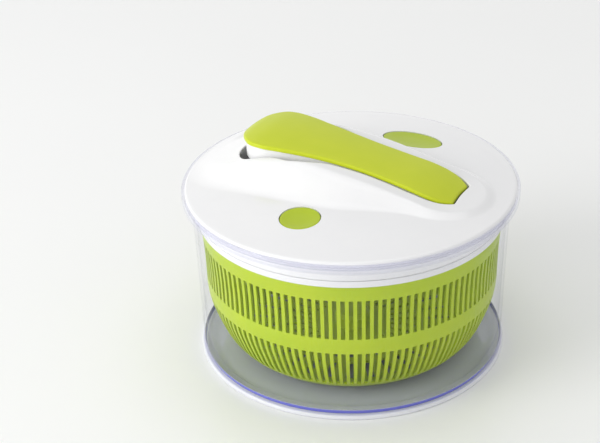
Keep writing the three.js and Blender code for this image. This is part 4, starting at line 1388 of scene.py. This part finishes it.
BUTTONS = (
    LockButton("lock_button_cap", "lock_button", *LOCK, 14.7, 14.7, 134.8),
    BrakeButton("brake_button_cap", "brake_button", *BRAKE, 24.0, 14.5, 133.0, 0.7),
)


# ---------------------------------------------------------------------- drive plate
@dataclass
class DrivePlate:
    """White plate that turns the basket."""

    ribs: int = 6
    forks: int = 3
    fork_start: float = 30.0
    fork_gap: float = 3.4
    fork_wall: float = 1.2

    def build(self, shop: Workshop) -> None:
        """Makes the plate with its ribs and forks, and the washer under it.

        Args:
            shop: The workshop.
        """
        plate = Piece("drive_plate_moulding").ring([
            (3.1, 108, 0), (9, 108, 0.6), (9, 112.5, 0.6), (114.1, 112.5, 0.6), (114.1, 110.5, 0.4),
            (116.2, 110.5, 0.5), (116.5, 115.7, 0.5), (114.4, 115.7, 0.4), (113.9, 114.5, 0.4),
            (9, 114.5, 0.5), (9, 115.4, 0.3), (3.1, 115.4, 0),
        ], 224)
        for i in range(self.ribs):
            plate.block((8, -0.8, 110.6), (113.5, 0.8, 113), 0.35, 360 / self.ribs * i)
        for i in range(self.forks):
            for y in (-self.fork_gap, self.fork_gap):
                low, high = (108, y - self.fork_wall, 103.5), (111.2, y + self.fork_wall, 113)
                plate.block(low, high, 0.5, self.fork_start + 360 / self.forks * i)
        shop.fit(plate.build(), Slot.PLATE, "output", "drive_plate")
        washer = Piece("plate_washer_turned")
        washer.ring([(1.7, 106.4, 0), (6, 106.4, 0.3), (6, 107.5, 0.3), (1.7, 107.5, 0)], 64)
        shop.fit(washer.build(), Slot.STEEL, "output", "plate_washer")


# ---------------------------------------------------------------------- studio
@dataclass
class Studio:
    """Camera, table and soft lights."""

    turn: float = 25.3
    lens: float = 90.0
    elevation: float = 30.34
    distance: float = 1165.4
    pivot: tuple[float, float, float] = (0.0, 0.0, 60.0)
    target: tuple[float, float, float] = (-7.59, 0.0, 96.7)
    roll: float = -0.93
    shift: tuple[float, float] = (-0.0690, 0.0060)
    aim: tuple[float, float, float] = (0.0, 0.0, 0.07)
    brightest: float = 1.12
    dimmer_above: float = 0.52
    dimmer_right: float = 0.24

    def camera(self) -> None:
        """Places the camera."""
        spin = Matrix.Rotation(math.radians(self.turn), 3, "Z")
        rise = math.radians(self.elevation)
        place = Vector(self.pivot) + Vector((0, -math.cos(rise), math.sin(rise))) * self.distance
        forward = (Vector(self.target) - place).normalized()
        right = forward.cross(Vector((0, 0, 1))).normalized()
        up = right.cross(forward)
        c, s = math.cos(math.radians(self.roll)), math.sin(math.radians(self.roll))
        side, top = c * right + s * up, c * up - s * right
        axes = [spin @ axis for axis in (side, top, -forward)]
        spot = (spin @ place) * MM
        matrix = Matrix([[axes[k][i] for k in range(3)] + [spot[i]] for i in range(3)] + [[0, 0, 0, 1]])
        data = bpy.data.cameras.new("camera")
        data.lens = self.lens
        data.sensor_width = 36.0
        data.shift_x, data.shift_y = self.shift
        data.clip_start, data.clip_end = 0.05, 20.0
        camera = bpy.data.objects.new("camera", data)
        camera.matrix_world = matrix
        bpy.context.scene.collection.objects.link(camera)
        bpy.context.scene.camera = camera

    def lamp(
        self, name: str, azimuth: float, height: float, reach: float, size: float, power: float,
        colour: Colour = (1.0, 1.0, 1.0),
    ) -> None:
        """Adds one soft light aimed at the object.

        Args:
            name: Its name.
            azimuth: Degrees from the camera's side, positive to the right.
            height: Its height in metres.
            reach: Its distance in plan, in metres.
            size: Its side, in metres.
            power: Its power, in watts.
            colour: Its colour.
        """
        data = bpy.data.lights.new(name, "AREA")
        data.shape = "DISK"
        data.size = size
        data.energy = power
        data.color = colour
        angle = math.radians(self.turn - 90 + azimuth)
        place = Vector((reach * math.cos(angle), reach * math.sin(angle), height))
        lamp = bpy.data.objects.new(name, data)
        lamp.location = place
        lamp.rotation_euler = (Vector(self.aim) - place).to_track_quat("-Z", "Y").to_euler()
        bpy.context.scene.collection.objects.link(lamp)

    def surroundings(self) -> bpy.types.World:
        """Makes soft white surroundings, brightest low down and to the left.

        Returns:
            The world.
        """
        graph = Graph("studio", world=True)
        direction = graph.add("ShaderNodeTexCoord")[COORDS_GENERATED]
        x, y, z = graph.add("ShaderNodeSeparateXYZ", None, {0: direction})
        turn = math.radians(self.turn)
        right = x * math.cos(turn) + y * math.sin(turn)
        level = self.brightest - z.ramp(0.0, 1.0) * self.dimmer_above
        level = level * (1.0 - right.ramp(-0.4, 1.0) * self.dimmer_right)
        links = {"Color": (1.0, 1.0, 1.0, 1.0), "Strength": level}
        back = graph.add("ShaderNodeBackground", None, links)[0]
        graph.add("ShaderNodeOutputWorld", None, {"Surface": back})
        return graph.material

    def build(self) -> None:
        """Makes the floor, the lights and the surroundings."""
        floor = Piece("pale_floor").skin([circle_ring(r, 0.0, 96) for r in (0.001, 400, 1200, 4000)]).build()
        floor.location.z = -0.0002
        floor.data.materials.append(TableTop("pale_table", (0.93, 0.935, 0.93)).make())
        floor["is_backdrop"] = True
        self.lamp("top_light", 165, 2.5, 0.5, 2.4, 9.0)
        self.lamp("key_light", -66, 1.0, 2.2, 1.5, 27.0, (1.0, 0.995, 0.98))
        self.lamp("front_fill", -10, 0.9, 2.4, 1.8, 4.0)
        bpy.context.scene.world = self.surroundings()
        bpy.context.scene.view_settings.view_transform = "Standard"


# ---------------------------------------------------------------------- assembly
def corners() -> list[list[float]]:
    """The shown object's box as plain lists."""
    return [[float(value) for value in corner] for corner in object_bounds()]


def main(packed: dict) -> None:
    """Builds every sub-assembly in order.
    """
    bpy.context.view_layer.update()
    studio = Studio()
    studio.camera()
    shop = Workshop()
    shop.dress_nodes(packed)
    for maker in (OuterBowl(), SlottedBasket(), DomedLid(), PressLever(), *BUTTONS, DrivePlate()):
        maker.build(shop)
    studio.build()


if __name__ == "__main__":
    logging.basicConfig(level=logging.INFO, format="%(name)s: %(message)s")
    main(frame)
